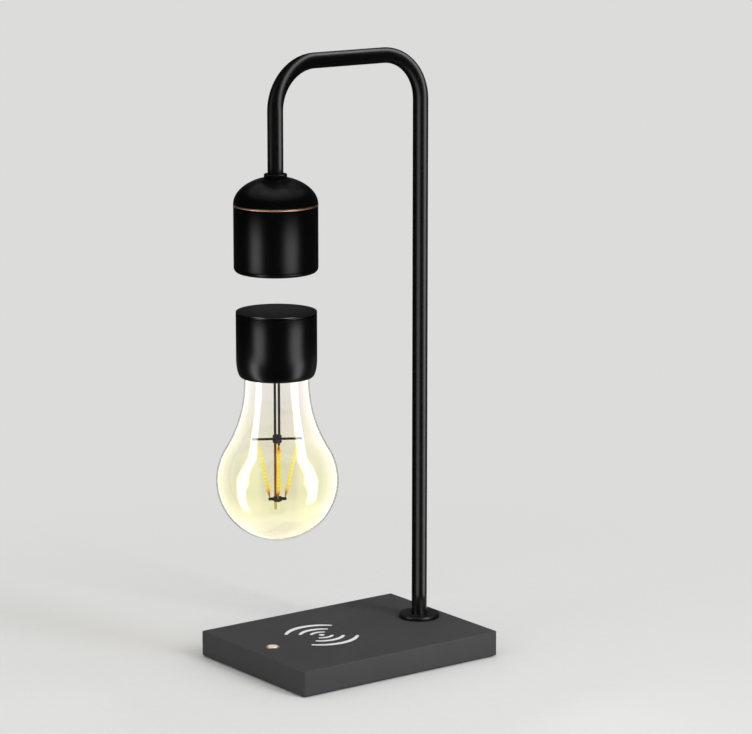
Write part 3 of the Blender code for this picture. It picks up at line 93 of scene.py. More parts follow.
# The photograph's camera, in metres, and its side as a turn about the head's axis
CAMERA_PLACE = Vector((-1.18981, -1.63020, 0.60154))
CAMERA_TARGET = Vector((0.02177, 0.0, 0.19052))
BELOW_HEAD = Vector((HEAD_AXIS[0] * MM, 0.0, 0.0))
TOWARDS_CAMERA = CAMERA_PLACE - BELOW_HEAD
CAMERA_TURN = math.atan2(TOWARDS_CAMERA.y, TOWARDS_CAMERA.x)
RIGHTWARDS = (0.802, -0.596)  # to the right in the photograph


# ---------------------------------------------------------------- colours and nodes

FIRST, SECOND = 6, 7  # the colour sockets of a Mix node
NOISE_REACH = (0.3, 0.7)  # where nearly all values of a noise lie
WAVE_LENGTH = 1 / math.pi  # of a wave texture at scale 1, in metres, within 2 percent
LUSTRE_RISE = (89.0, 194.0)  # heights between which the lustre's tint and its painted glow change


def linear(code):
    """An sRGB hex value as the linear colour that a node takes."""
    shares = [int(code[i : i + 2], 16) / 255 for i in (1, 3, 5)]
    return (*(s / 12.92 if s <= 0.04045 else ((s + 0.055) / 1.055) ** 2.4 for s in shares), 1.0)


def add_node(tree, kind, sockets=(), **settings):
    """Add a node with its settings to a tree. Below, add is this function for one tree.

    Its sockets come by name or number, or as a tuple in their own order. Each takes a value, an
    output of another node, or another node, of which the first output in use is linked.
    """
    node = tree.nodes.new("ShaderNode" + kind)
    for name, value in settings.items():
        setattr(node, name, value)
    given = sockets if isinstance(sockets, dict) else dict(enumerate(sockets))
    for name, value in given.items():
        if isinstance(value, bpy.types.Node):
            value = next(output for output in value.outputs if output.enabled)
        if isinstance(value, bpy.types.NodeSocket):
            tree.links.new(value, node.inputs[name])
        else:
            node.inputs[name].default_value = value
    return node


def material(name, build, *values):
    """A material whose shader the build function makes, on the object's own coordinates."""
    made = bpy.data.materials.new(name)
    made.use_nodes = True
    made.node_tree.nodes.clear()
    add = functools.partial(add_node, made.node_tree)
    coords = add("TexCoord").outputs["Object"]
    add("OutputMaterial", {"Surface": build(add, coords, *values)})
    return made


def per_mm(size):
    """Scale of a pattern whose grain is this many millimetres across."""
    return 1.0 / (size * MM)


def grained(add, grain, shades, rough, relief=None):
    """What a grain does to a shader: two shades, one or two roughnesses, and its relief as a
    strength and a depth in millimetres."""
    colours = {"Factor": grain, FIRST: linear(shades[0]), SECOND: linear(shades[1])}
    look = {"Base Color": add("Mix", colours, data_type="RGBA"), "Roughness": rough}
    if isinstance(rough, tuple):
        look["Roughness"] = add("MapRange", (grain, 0.0, 1.0, *rough))
    if relief:
        height = {"Height": grain, "Strength": relief[0], "Distance": relief[1] * MM}
        look["Normal"] = add("Bump", height)
    return look


def moulded_abs_charcoal(add, coords):
    """ABS, moulded against a spark-eroded tool: a dry, even, faintly pebbled grey with soft
    highlights."""
    # The eroded grain is about 0.1 mm, and is drawn at 0.7 mm to show at all
    grain = {"Vector": coords, "Scale": per_mm(0.7), "Detail": 3.0, "Roughness": 0.6}
    grain = add("TexNoise", grain)
    flow = add("TexNoise", {"Vector": coords, "Scale": per_mm(45), "Detail": 2.0})
    mottle = add("MapRange", (flow, *NOISE_REACH, 0.25, 0.75))
    speckle = add("MapRange", (grain, *NOISE_REACH, -0.25, 0.25))
    blend = add("Math", (mottle, speckle), operation="ADD", use_clamp=True)
    shades = {"Factor": blend, FIRST: linear("#3A3A3B"), SECOND: linear("#424243")}
    look = {
        "Base Color": add("Mix", shades, data_type="RGBA"),
        "Roughness": add("MapRange", (grain, *NOISE_REACH, 0.52, 0.66)),
        "IOR": 1.54,
        "Specular IOR Level": 0.12,
        "Normal": add("Bump", {"Height": grain, "Strength": 0.25, "Distance": 0.08 * MM}),
    }
    return add("BsdfPrincipled", look)


def glossy_black(add, coords, shades, rough, shine, peel):
    """Black lacquer or gloss moulding: nearly black, with soft wide highlights that waver."""
    # Orange peel is 1 to 2 mm across on sprayed and moulded gloss
    skin = add("TexNoise", {"Vector": coords, "Scale": per_mm(peel), "Detail": 2.0})
    dust = add("TexNoise", {"Vector": coords, "Scale": per_mm(0.5), "Detail": 1.0})
    shades = {"Factor": dust, FIRST: linear(shades[0]), SECOND: linear(shades[1])}
    look = {
        "Base Color": add("Mix", shades, data_type="RGBA"),
        "Roughness": add("MapRange", (skin, *NOISE_REACH, *rough)),
        "IOR": 1.5,
        "Specular IOR Level": shine,
        "Normal": add("Bump", {"Height": skin, "Strength": 0.06, "Distance": 0.04 * MM}),
    }
    return add("BsdfPrincipled", look)


def anodised_copper_ring(add, coords):
    """Aluminium, turned on a lathe and anodised rose copper: fine rings run round it and catch the
    light."""
    # Tool marks are about 0.05 mm apart, and are drawn at 0.3 mm to show
    stretch = (per_mm(25), per_mm(25), per_mm(0.3))
    marks = add("VectorMath", (coords, stretch), operation="MULTIPLY")
    marks = add("TexNoise", {"Vector": marks, "Scale": 1.0, "Detail": 2.0})
    look = grained(add, marks, ("#CC9E82", "#DEB59A"), (0.46, 0.58), (0.2, 0.03))
    return add("BsdfPrincipled", {**look, "Metallic": 1.0})


def moulded_cream_button(add, coords):
    """Polycarbonate, moulded in cream and a little cloudy: light sinks in and softens its edge."""
    cloud = add("TexNoise", {"Vector": coords, "Scale": per_mm(2.5), "Detail": 2.0})
    look = grained(add, cloud, ("#E9DCC9", "#F6ECDD"), (0.28, 0.42))
    depth = {"IOR": 1.58, "Subsurface Weight": 0.15, "Subsurface Scale": 0.6 * MM}
    return add("BsdfPrincipled", {**look, **depth})


def white_pad_print(add, coords):
    """White ink, printed by pad in one thin coat: flat and matt, with a faintly uneven cover."""
    cover = add("TexNoise", {"Vector": coords, "Scale": per_mm(1.2), "Detail": 3.0})
    look = grained(add, cover, ("#DADADA", "#F2F2F2"), 0.6, (0.1, 0.02))
    return add("BsdfPrincipled", {**look, "IOR": 1.5})


def set_stops(ramp, stops):
    """Give a colour ramp its stops, each a position and a linear colour."""
    for element, (position, colour) in zip(ramp.elements, (stops[0], stops[-1])):
        element.position = position
        element.color = colour
    for position, colour in stops[1:-1]:
        ramp.elements.new(position).color = colour


def height_ramp(add, coords, low, high, shades):
    """Colours by height between two heights, each as a share of the way up and an sRGB hex value."""
    height = add("SeparateXYZ", (coords,)).outputs["Z"]
    ramp = add("ValToRGB", (add("MapRange", (height, low * MM, high * MM)),))
    set_stops(ramp.color_ramp, [(share, linear(code)) for share, code in shades])
    return ramp


def right_of_bulb(add, coords):
    """How far to the right of the bulb's middle a spot lies in the photograph, in metres."""
    right = add("VectorMath", (coords, (*RIGHTWARDS, 0.0)), operation="DOT_PRODUCT")
    return add("Math", (right, -HEAD_AXIS[0] * MM * RIGHTWARDS[0]), operation="ADD")


def see_through(add, look, tint):
    """Glass with this look. The light that it would shade passes with a tint instead."""
    clear = {"Roughness": 0.0, "IOR": 1.5, "Transmission Weight": 1.0}
    glass = add("BsdfPrincipled", {**clear, **look})
    tinted = add("BsdfTransparent", {"Color": linear(tint)})
    shadow = add("LightPath").outputs["Is Shadow Ray"]
    return add("MixShader", (shadow, glass, tinted))


def blown_glass(add, coords):
    """Soda-lime glass, blown: clear and even, with waves so slow that only its highlights show
    them."""
    # Slow waves of 20 to 30 mm, as left by the blowing
    wave = add("TexNoise", {"Vector": coords, "Scale": per_mm(28), "Detail": 1.0})
    # Painted glow: where the wall is seen along itself it gives off a pale olive light, standing in
    # for the lining's glow carried to its edge
    facing = add("LayerWeight", {"Blend": 0.5}).outputs["Facing"]
    edge = add("Math", (facing, 6.0), operation="POWER")
    rim = {"Factor": edge, FIRST: linear("#000000"), SECOND: linear("#8E8870")}
    look = {
        "Base Color": linear("#FEFEFC"),
        "Normal": add("Bump", {"Height": wave, "Strength": 0.08, "Distance": 0.3 * MM}),
        "Emission Color": add("Mix", rim, data_type="RGBA"),
        "Emission Strength": 1.0,
    }
    return see_through(add, look, "#FDFDFA")


def lustre_lining(add, coords):
    """Golden lustre, fired on inside the blown glass: it tints what lies behind. Its glow is painted
    light, standing in for the filaments' light sent back inwards, palest where it is seen along its
    surface."""
    tints = ((0.0, "#FBF7E0"), (0.15, "#FAF8D8"), (0.35, "#F6F4D2"), (0.6, "#F6F3E0"))
    tints += ((0.85, "#FAF6F0"), (1.0, "#FDFBF6"))
    painted_glows = ((0.0, "#564E40"), (0.06, "#8A8656"), (0.13, "#7E7A4C"), (0.2, "#54522E"))
    painted_glows += ((0.6, "#504E3C"), (0.85, "#605A58"), (1.0, "#707068"))
    # Painted light: half way to each side the belly's painted glow is stronger, and the right edge
    # is painted paler than the left
    painted_halos = ((0.0, "#000000"), (0.15, "#5A5830"), (0.35, "#7C7A44"), (0.5, "#2A2A18"))
    painted_halos += ((0.6, "#000000"),)
    right = right_of_bulb(add, coords)
    apart = add("Math", (right,), operation="ABSOLUTE")
    near = (apart, 9 * MM, 15 * MM)
    near = add("MapRange", near, interpolation_type="SMOOTHSTEP")
    away = (apart, 19 * MM, 28 * MM, 1.0, 0.0)
    away = add("MapRange", away, interpolation_type="SMOOTHSTEP")
    belly = add("Math", (near, away), operation="MULTIPLY")
    painted_halo = {0: height_ramp(add, coords, *LUSTRE_RISE, painted_halos), "Scale": belly}
    painted_halo = add("VectorMath", painted_halo, operation="SCALE")
    glow = (height_ramp(add, coords, *LUSTRE_RISE, painted_glows), painted_halo)
    glow = add("VectorMath", glow, operation="ADD")
    # Painted light: where the lining is seen along its surface, its painted glow turns cream
    facing = add("LayerWeight", {"Blend": 0.5}).outputs["Facing"]
    edge = add("Math", (facing, 2.0), operation="POWER")
    paler = add("MapRange", (right, 10 * MM, 36 * MM, 1.0, 1.8))
    edge = add("Math", (edge, paler), operation="MULTIPLY", use_clamp=True)
    cream = {"Factor": edge, FIRST: glow, SECOND: linear("#F8EEE4")}
    cream = add("Mix", cream, data_type="RGBA")
    # Painted light: only the side of the lining that faces the filaments shows the painted glow,
    # standing in for their light sent back inwards
    behind = add("NewGeometry").outputs["Backfacing"]
    painted_glow_inwards = {"Factor": behind, FIRST: cream, SECOND: linear("#000000")}
    look = {
        "Base Color": height_ramp(add, coords, *LUSTRE_RISE, tints),
        "Emission Color": add("Mix", painted_glow_inwards, data_type="RGBA"),
        "Emission Strength": 1.0,
    }
    return see_through(add, look, "#FBF8E4")


def pressed_clear_glass(add, coords):
    """Soda-lime glass tube, flared and pinched in a flame: clear, with slow ripples."""
    ripple = add("TexNoise", {"Vector": coords, "Scale": per_mm(3), "Detail": 1.0})
    look = {
        "Base Color": linear("#F4F7F2"),
        "Roughness": 0.02,
        "Normal": add("Bump", {"Height": ripple, "Strength": 0.3, "Distance": 0.2 * MM}),
    }
    return see_through(add, look, "#F0F4EE")


def oxidised_lead_wire(add, coords):
    """Copper wire, drawn, oxidised black above the filaments and bright between them: a dry,
    slightly scaly black that turns to a warm red shine."""
    # Scale flakes of about 0.4 mm, drawn at 0.8 mm
    flakes = {"Vector": coords, "Scale": per_mm(0.8), "Detail": 4.0, "Roughness": 0.65}
    flakes = add("TexNoise", flakes)
    look = grained(add, flakes, ("#040302", "#0C0807"), (0.35, 0.6), (0.4, 0.05))
    shades = ((0.2, "#C9C35A"), (0.215, "#A0481E"), (0.7, "#8A2A10"), (0.85, "#7A2410"))
    copper = height_ramp(add, coords, 100, 160, shades)
    # Bright below the cross and near the axis, apart from the lower hub
    height = add("SeparateXYZ", (coords,)).outputs["Z"]
    low = add("Math", (height, 151.2 * MM), operation="LESS_THAN")
    centred = add("VectorMath", (coords, BELOW_HEAD), operation="SUBTRACT")
    flat = add("VectorMath", (centred, (1.0, 1.0, 0.0)), operation="MULTIPLY")
    out = add("VectorMath", (flat,), operation="LENGTH")
    slim = add("Math", (out, 2.2 * MM), operation="LESS_THAN")
    hub = add("Math", (height, HUB_HEIGHT * MM, 1.6 * MM), operation="COMPARE")
    bright = add("Math", (low, slim), operation="MULTIPLY")
    bright = add("Math", (bright, hub), operation="SUBTRACT", use_clamp=True)
    colour = {"Factor": bright, FIRST: look["Base Color"], SECOND: copper}
    look["Base Color"] = add("Mix", colour, data_type="RGBA")
    return add("BsdfPrincipled", {**look, "Metallic": bright, "Specular IOR Level": 0.08})


def glowing_phosphor(add, coords):
    """Silicone filled with yellow phosphor, cast over a row of chips: bright yellow, dimming to
    orange at its ends."""
    shades = ((0.05, "#5A1206"), (0.1, "#C8560A"), (0.15, "#EBC010"), (0.25, "#EBDA10"))
    shades += ((0.8, "#EEDC1A"), (0.88, "#EBB810"), (0.92, "#C8560A"), (0.96, "#5A1206"))
    heat = height_ramp(add, coords, FILAMENT_FOOT, FILAMENT_TOP, shades)
    # The strips at the two sides are seen past their coating's edge, where it is paler
    apart = add("Math", (right_of_bulb(add, coords),), operation="ABSOLUTE")
    pale = add("MapRange", (apart, 4.5 * MM, 11.5 * MM, 0.0, 0.8))
    heat = {"Factor": pale, FIRST: heat, SECOND: linear("#FFF8A8")}
    heat = add("Mix", heat, data_type="RGBA")
    # Chips sit about 2.4 mm apart
    chips = {"Vector": coords, "Scale": WAVE_LENGTH * per_mm(2.4), "Distortion": 0.4}
    chips = add("TexWave", chips, wave_type="BANDS", bands_direction="Z").outputs["Fac"]
    power = add("MapRange", (chips, 0.0, 1.0, 0.85, 1.0))
    look = {
        "Base Color": linear("#6E4A08"),
        "Roughness": 0.45,
        "IOR": 1.43,
        "Emission Color": add("VectorMath", {0: heat, "Scale": power}, operation="SCALE"),
        "Emission Strength": 1.0,
    }
    return add("BsdfPrincipled", look)


def plated_metal(add, coords, shades, rough, grain):
    """Plated or bare metal with its fine grain: grey, with soft broken reflections."""
    grain = add("TexNoise", {"Vector": coords, "Scale": per_mm(grain), "Detail": 3.0})
    look = grained(add, grain, shades, rough, (0.15, 0.04))
    return add("BsdfPrincipled", {**look, "Metallic": 1.0})


def wound_copper(add, coords):
    """Copper wire, enamelled and wound in even turns: rows of thin bright ridges."""
    # Wire of 0.4 mm, drawn at 0.8 mm to show
    rows = {"Vector": coords, "Scale": WAVE_LENGTH * per_mm(0.8), "Distortion": 0.5}
    rows = add("TexWave", rows, wave_type="BANDS", bands_direction="Z").outputs["Fac"]
    look = grained(add, rows, ("#6E3A1E", "#C47A4A"), 0.3, (0.6, 0.2))
    return add("BsdfPrincipled", {**look, "Metallic": 1.0})


def masked_circuit_board(add, coords):
    """Glass-fibre board under green solder mask: glossy green, with lighter bands where copper
    runs below."""
    # Copper tracks of about 1 mm
    tracks = {
        "Vector": coords,
        "Color1": linear("#1E6B3C"),
        "Color2": linear("#19603A"),
        "Mortar": linear("#2C8A50"),
        "Scale": per_mm(8),
        "Mortar Size": 0.06,
        "Brick Width": 0.9,
        "Row Height": 0.3,
    }
    tracks = add("TexBrick", tracks)
    relief = {"Height": tracks.outputs["Fac"], "Strength": 0.3, "Distance": 0.05 * MM}
    look = {"Base Color": tracks, "Roughness": 0.35, "IOR": 1.55}
    return add("BsdfPrincipled", {**look, "Normal": add("Bump", relief)})


def dull_moulding(add, coords, shades, rough, grain, strength):
    """Moulded or sintered matt stuff: one dark shade with a fine grain that scatters light."""
    grain = add("TexNoise", {"Vector": coords, "Scale": per_mm(grain), "Detail": 3.0})
    look = grained(add, grain, shades, (rough - 0.08, rough + 0.08), (strength, 0.1))
    return add("BsdfPrincipled", {**look, "IOR": 1.5})


FINISHES = {
    "housing_plastic": material("moulded_abs_charcoal", moulded_abs_charcoal),
    # ABS from a plain tool: a flat black without a highlight
    "cover_plastic": material(
        "moulded_black_cover", dull_moulding, ("#161617", "#202021"), 0.6, 0.8, 0.3
    ),
    # Rubber sheet, pressed: the driest black of the lamp
    "pad_rubber": material(
        "pressed_rubber_pad", dull_moulding, ("#121212", "#1E1E1E"), 0.85, 0.9, 0.8
    ),
    # Steel, zinc plated: a cool mid grey, duller where the plating's crystals are coarse
    "plain_steel": material(
        "zinc_plated_steel", plated_metal, ("#8C8C8E", "#A6A6A8"), (0.28, 0.45), 1.5
    ),
    "copper_winding": material("wound_copper", wound_copper),
    # Ferrite powder, pressed and sintered: dark, dry and stony
    "ferrite": material("sintered_ferrite", dull_moulding, ("#222224", "#303033"), 0.6, 0.5, 0.4),
    "circuit_board": material("masked_circuit_board", masked_circuit_board),
    # Nylon, moulded smooth: black with a low waxy sheen
    "inner_plastic": material(
        "moulded_black_nylon", dull_moulding, ("#111112", "#1B1B1C"), 0.45, 1.0, 0.2
    ),
    "button_plastic": material("moulded_cream_button", moulded_cream_button),
    "copper_trim": material("anodised_copper_ring", anodised_copper_ring),
    # Steel, sprayed with black lacquer: long soft bands of light on a deep black
    "black_painted_metal": material(
        "sprayed_black_steel", glossy_black, ("#040404", "#060606"), (0.3, 0.36), 0.34, 1.6
    ),
    # Rubber, extruded round a cable: dull black
    "cable_rubber": material(
        "extruded_cable_rubber", dull_moulding, ("#101010", "#1A1A1A"), 0.6, 0.8, 0.3
    ),
    # ABS from a polished tool: the deepest black, with faint wide bands of light
    "black_gloss_plastic": material(
        "moulded_gloss_black", glossy_black, ("#030303", "#040404"), (0.28, 0.32), 0.12, 1.8
    ),
    "tinted_glass": material("blown_glass", blown_glass),
    "clear_glass": material("pressed_clear_glass", pressed_clear_glass),
    "dark_lead_wire": material("oxidised_lead_wire", oxidised_lead_wire),
    "filament_phosphor": material("glowing_phosphor", glowing_phosphor),
    # Magnet, nickel plated: a bright warm grey with clear reflections
    "magnet_nickel": material(
        "nickel_plated_magnet", plated_metal, ("#B4B2AC", "#CBC9C4"), (0.12, 0.22), 2.0
    ),
}
PRINT = material("white_pad_print", white_pad_print)
# The lustre's tint, with its painted glow, for the inner faces of the glass
LUSTRE_AND_PAINTED_GLOW = material("lustre_lining", lustre_lining)
# The gloss moulding on the lid's rounded edge, glossier and painted a lighter black: the lighter
# colour is a painted highlight, one thin bright line
GLOSS_EDGE_PAINTED_HIGHLIGHT = material(
    "polished_black_edge", glossy_black, ("#101010", "#161616"), (0.14, 0.2), 1.0, 1.6
)


# ---------------------------------------------------------------- modelling


def pick(piece, *others):
    """Select these pieces alone, with the first as the active one."""
    bpy.ops.object.select_all(action="DESELECT")
    for chosen in (piece, *others):
        chosen.select_set(True)
    bpy.context.view_layer.objects.active = piece


def begin(name, operator, **settings):
    """Add a primitive with nothing else selected, and name it."""
    bpy.ops.object.select_all(action="DESELECT")
    operator(**settings)
    piece = bpy.context.object
    piece.name = piece.data.name = name
    return piece


def edit(piece):
    """Go into edit mode on this piece alone."""
    pick(piece)
    bpy.ops.object.mode_set(mode="EDIT")


def choose(piece, kind, test):
    """In edit mode, select only the faces or edges that pass the test."""
    bpy.ops.mesh.select_mode(type=kind)
    bpy.ops.mesh.select_all(action="DESELECT")
    mesh = bmesh.from_edit_mesh(piece.data)
    for element in mesh.faces if kind == "FACE" else mesh.edges:
        if test(element):
            element.select_set(True)
    bmesh.update_edit_mesh(piece.data)


def extrude(x, y, z):
    """Pull what is selected out along this way, in metres."""
    bpy.ops.mesh.extrude_region_move(TRANSFORM_OT_translate={"value": (x, y, z)})


def leave_edit():
    """Leave edit mode, with the seams merged and the faces pointing outwards."""
    bpy.ops.mesh.select_all(action="SELECT")
    bpy.ops.mesh.remove_doubles(threshold=MERGE_REACH)
    bpy.ops.mesh.normals_make_consistent(inside=False)
    bpy.ops.object.mode_set(mode="OBJECT")


def modify(piece, kind, **settings):
    """Give the piece a modifier and apply it."""
    bpy.context.view_layer.objects.active = piece
    modifier = piece.modifiers.new(kind.lower(), kind)
    for name, value in settings.items():
        setattr(modifier, name, value)
    bpy.ops.object.modifier_apply(modifier=modifier.name)


def combine(piece, tool, operation):
    """Cut the tool's shape out of the piece, or add it, and throw the tool away."""
    modify(piece, "BOOLEAN", operation=operation, solver="EXACT", object=tool)
    bpy.data.objects.remove(tool, do_unlink=True)


def place(piece):
    """Put the piece's place into its mesh."""
    pick(piece)
    bpy.ops.object.transform_apply(location=True, rotation=True, scale=True)
    return piece


def dress(piece, body, slot, *nodes, finish=None):
    """Shade a finished piece, give it its finish, and set it on its body in place of its nodes."""
    place(piece)
    bpy.ops.object.shade_smooth_by_angle(angle=SMOOTH_ANGLE)
    piece.data.materials.clear()
    piece.data.materials.append(finish or FINISHES[slot])
    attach(piece, body)
    if nodes:
        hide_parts(*nodes)
    return piece


def finish_faces(piece, finish, test):
    """Give the faces that pass the test a finish of their own."""
    piece.data.materials.append(finish)
    edit(piece)
    choose(piece, "FACE", test)
    piece.active_material_index = 1
    bpy.ops.object.material_slot_assign()
    bpy.ops.object.mode_set(mode="OBJECT")


def copies(piece, count):
    """The piece, whose name ends in 1, and its numbered copies, each with its own mesh."""
    pieces = [piece]
    for number in range(2, count + 1):
        twin = piece.copy()
        twin.data = piece.data.copy()
        twin.name = twin.data.name = f"{piece.name[:-1]}{number}"
        bpy.context.collection.objects.link(twin)
        pieces.append(twin)
    return pieces


def arc(centre, radii, start, end, steps):
    """Points (radius, height) along part of an ellipse, with angles in degrees."""
    points = []
    for i in range(steps + 1):
        angle = math.radians(start + (end - start) * i / steps)
        out, rise = radii[0] * math.cos(angle), radii[1] * math.sin(angle)
        points.append((centre[0] + out, centre[1] + rise))
    return points


def softened(outline):
    """Turn each corner of an outline that carries a third number into an arc of that radius."""
    points = []
    for i, point in enumerate(outline):
        if len(point) < 3:
            points.append(point)
            continue
        radius = point[2]
        corner = Vector(point[:2])
        back = (Vector(outline[i - 1][:2]) - corner).normalized()
        ahead = (Vector(outline[(i + 1) % len(outline)][:2]) - corner).normalized()
        half = back.angle(ahead) / 2
        centre = corner + (back + ahead).normalized() * radius / math.sin(half)
        first = corner + back * radius / math.tan(half) - centre
        last = corner + ahead * radius / math.tan(half) - centre
        start = math.atan2(first.y, first.x)
        sweep = (math.atan2(last.y, last.x) - start + math.pi) % math.tau - math.pi
        ends = (math.degrees(start), math.degrees(start + sweep))
        points += arc(centre, (radius, radius), *ends, 8 if radius > 1.0 else 4)
    return points


def turned(name, outline, axis=(0.0, 0.0), sides=SIDES):
    """A round piece: a circle at the outline's first step, extruded and resized through the rest.

    The outline is (radius, height). It starts and ends on the axis, or closes on itself.
    """
    steps = softened(outline)
    pole = steps.pop(0) if steps[0][0] == 0.0 else None
    radius, height = steps[0]
    at = (axis[0] * MM, axis[1] * MM)
    settings = {"vertices": sides, "radius": radius * MM, "location": (*at, height * MM)}
    piece = begin(name, bpy.ops.mesh.primitive_circle_add, **settings)
    bpy.ops.object.mode_set(mode="EDIT")
    bpy.ops.mesh.select_mode(type="EDGE")
    route = steps[1:] if pole else steps[1:] + steps[:1]
    for next_radius, next_height in route:
        extrude(0.0, 0.0, (next_height - height) * MM)
        ratio = next_radius / radius
        level = (*at, next_height * MM)
        bpy.ops.transform.resize(value=(ratio, ratio, 1.0), center_override=level)
        radius, height = next_radius, next_height
    if pole:
        bpy.ops.mesh.select_all(action="SELECT")
        bpy.ops.mesh.remove_doubles(threshold=MERGE_REACH)
        bpy.ops.mesh.select_all(action="DESELECT")
        bpy.ops.mesh.select_mode(type="EDGE")
        bpy.ops.mesh.select_non_manifold()
        extrude(0.0, 0.0, (pole[1] - steps[0][1]) * MM)
        level = (*at, pole[1] * MM)
        bpy.ops.transform.resize(value=(0.0, 0.0, 1.0), center_override=level)
    leave_edit()
    return place(piece)


def block(name, low, high):
    """A cube set between two corners."""
    middle = [(a + b) / 2 * MM for a, b in zip(low, high)]
    size = [(b - a) * MM for a, b in zip(low, high)]
    piece = begin(name, bpy.ops.mesh.primitive_cube_add, size=1.0, location=middle, scale=size)
    return place(piece)


def drill(piece, centre, radius, length, along_x=False, sides=SMALL_SIDES):
    """Bore a round hole through the piece, upright or along X."""
    bit = begin(
        "bit",
        bpy.ops.mesh.primitive_cylinder_add,
        vertices=sides,
        radius=radius * MM,
        depth=length * MM,
        location=[c * MM for c in centre],
        rotation=(0.0, math.radians(90) if along_x else 0.0, 0.0),
    )
    combine(piece, bit, "DIFFERENCE")


def bulb_point(out, turn, height):
    """A place in metres at this distance and turn (degrees) from the bulb's axis."""
    angle = BULB_TURN + math.radians(turn)
    return Vector((HEAD_AXIS[0] + out * math.cos(angle), out * math.sin(angle), height)) * MM


def rod(name, foot, top, radius, sides=16):
    """A round rod between two points in metres, with softened ends."""
    run = top - foot
    piece = begin(
        name,
        bpy.ops.mesh.primitive_cylinder_add,
        vertices=sides,
        radius=radius * MM,
        depth=run.length,
        location=(foot + top) / 2,
        rotation=run.to_track_quat("Z", "Y").to_euler(),
    )
    edit(piece)
    choose(piece, "EDGE", lambda e: abs(e.verts[0].co.z - e.verts[1].co.z) < MERGE_REACH / 2)
    bpy.ops.mesh.bevel(offset=radius * 0.35 * MM, segments=3, affect="EDGES")
    leave_edit()
    return place(piece)


def upright(edge):
    """Whether an edge stands up more than it lies."""
    a, b = (v.co for v in edge.verts)
    return abs(a.z - b.z) > 0.6 * (a - b).length


def within(low, high):
    """A test for edges that lie between two heights."""
    return lambda edge: all(low * MM < v.co.z < high * MM for v in edge.verts)


# Base shell: a moulded tray, upside down, with its rounded edges, its hollow and its holes
shell = block("base_shell", (-BASE_HALF[0], -BASE_HALF[1], BASE_FOOT), (*BASE_HALF, BASE_TOP))
edit(shell)
for test, rounding, segments in (
    (upright, 1.6, 10),
    (within(BASE_TOP - 0.1, BASE_TOP + 0.1), 0.8, 6),
    (within(BASE_FOOT - 0.1, BASE_FOOT + 0.1), 0.3, 3),
):
    choose(shell, "EDGE", test)
    bpy.ops.mesh.bevel(offset=rounding * MM, segments=segments, affect="EDGES")
choose(shell, "FACE", lambda f: f.normal.z < -0.99)
bpy.ops.mesh.inset(thickness=1.7 * MM)
extrude(0.0, 0.0, 14.2 * MM)
leave_edit()
drill(shell, (*POST_AXIS, 16.0), TUBE_HOLE, 6.0)
drill(shell, (*BUTTON_AXIS, 16.0), 4.6, 6.0)
drill(shell, (76.5, *INLET_AXIS), 3.2, 6.0, along_x=True)
modify(shell, "WEIGHTED_NORMAL", keep_sharp=True)
dress(shell, "stand", "housing_plastic", "base_housing")

# Charging mark: a printed dot and three pairs of arcs, which thin out towards their tips. Each
# arc is a disc, cut by a round hole in front of its middle and trimmed at its two tips
MARK_HEIGHT = BASE_TOP + PRINT_DEPTH / 2
MARK_PLACE = (MARK_AXIS[0] * MM, MARK_AXIS[1] * MM, MARK_HEIGHT * MM)


def printed_disc(name, radius, sides):
    """A thin disc of ink at the mark's middle."""
    ink = {"vertices": sides, "radius": radius * MM, "depth": PRINT_DEPTH * MM}
    return place(begin(name, bpy.ops.mesh.primitive_cylinder_add, **ink, location=MARK_PLACE))


mark = printed_disc("charging_mark", 1.9, SMALL_SIDES)
arcs = []
for number, (outer, inner, drop) in enumerate(
    ((7.8, 7.8, 2.6), (15.1, 16.1, 4.2), (24.3, 25.9, 5.2))
):
    stroke = printed_disc(f"arc_{number}", outer, SIDES * 2)
    eye = (MARK_AXIS[0], MARK_AXIS[1] - drop, MARK_HEIGHT)
    drill(stroke, eye, inner, 1.0, sides=SIDES * 2)
    edit(stroke)
    for tip in (38, 142):
        angle = math.radians(tip)
        bpy.ops.mesh.select_all(action="SELECT")
        bpy.ops.mesh.bisect(
            plane_co=MARK_PLACE,
            plane_no=(-math.sin(angle), math.cos(angle), 0.0),
            use_fill=True,
            clear_inner=tip < 90,
            clear_outer=tip > 90,
        )
    leave_edit()
    arcs.append(stroke)
pick(mark, *arcs)
bpy.ops.object.join()
edit(mark)
choose(mark, "FACE", lambda f: f.calc_center_median().y > (MARK_AXIS[1] + 3.0) * MM)
bpy.ops.mesh.duplicate()
bpy.ops.transform.mirror(constraint_axis=(False, True, False), center_override=MARK_PLACE)
leave_edit()
dress(mark, "stand", None, finish=PRINT)

# Button and its copper rim
outline = [(0.0, 17.5), (3.2, 17.5, 0.4), (3.2, 14.7), (4.4, 14.7)]
outline += [(4.4, 13.9), (1.8, 13.9), (1.8, 12.3), (0.0, 12.3)]
button = turned("button_cap", outline, BUTTON_AXIS, SMALL_SIDES)
dress(button, "button", "button_plastic", "power_button")
outline = [(3.5, 17.3, 0.2), (4.3, 17.3, 0.3), (4.3, 15.0), (3.5, 15.0)]
rim = turned("button_rim", outline, BUTTON_AXIS, SMALL_SIDES)
dress(rim, "stand", "copper_trim", "button_bezel")

# Flange at the foot of the post
outline = [(TUBE_HOLE, 19.9, 0.2), (13.4, 19.9, 1.2), (13.4, 17.3, 0.25), (TUBE_HOLE, 17.3)]
flange = turned("foot_flange", outline, POST_AXIS)
dress(flange, "stand", "black_painted_metal", "post_flange")


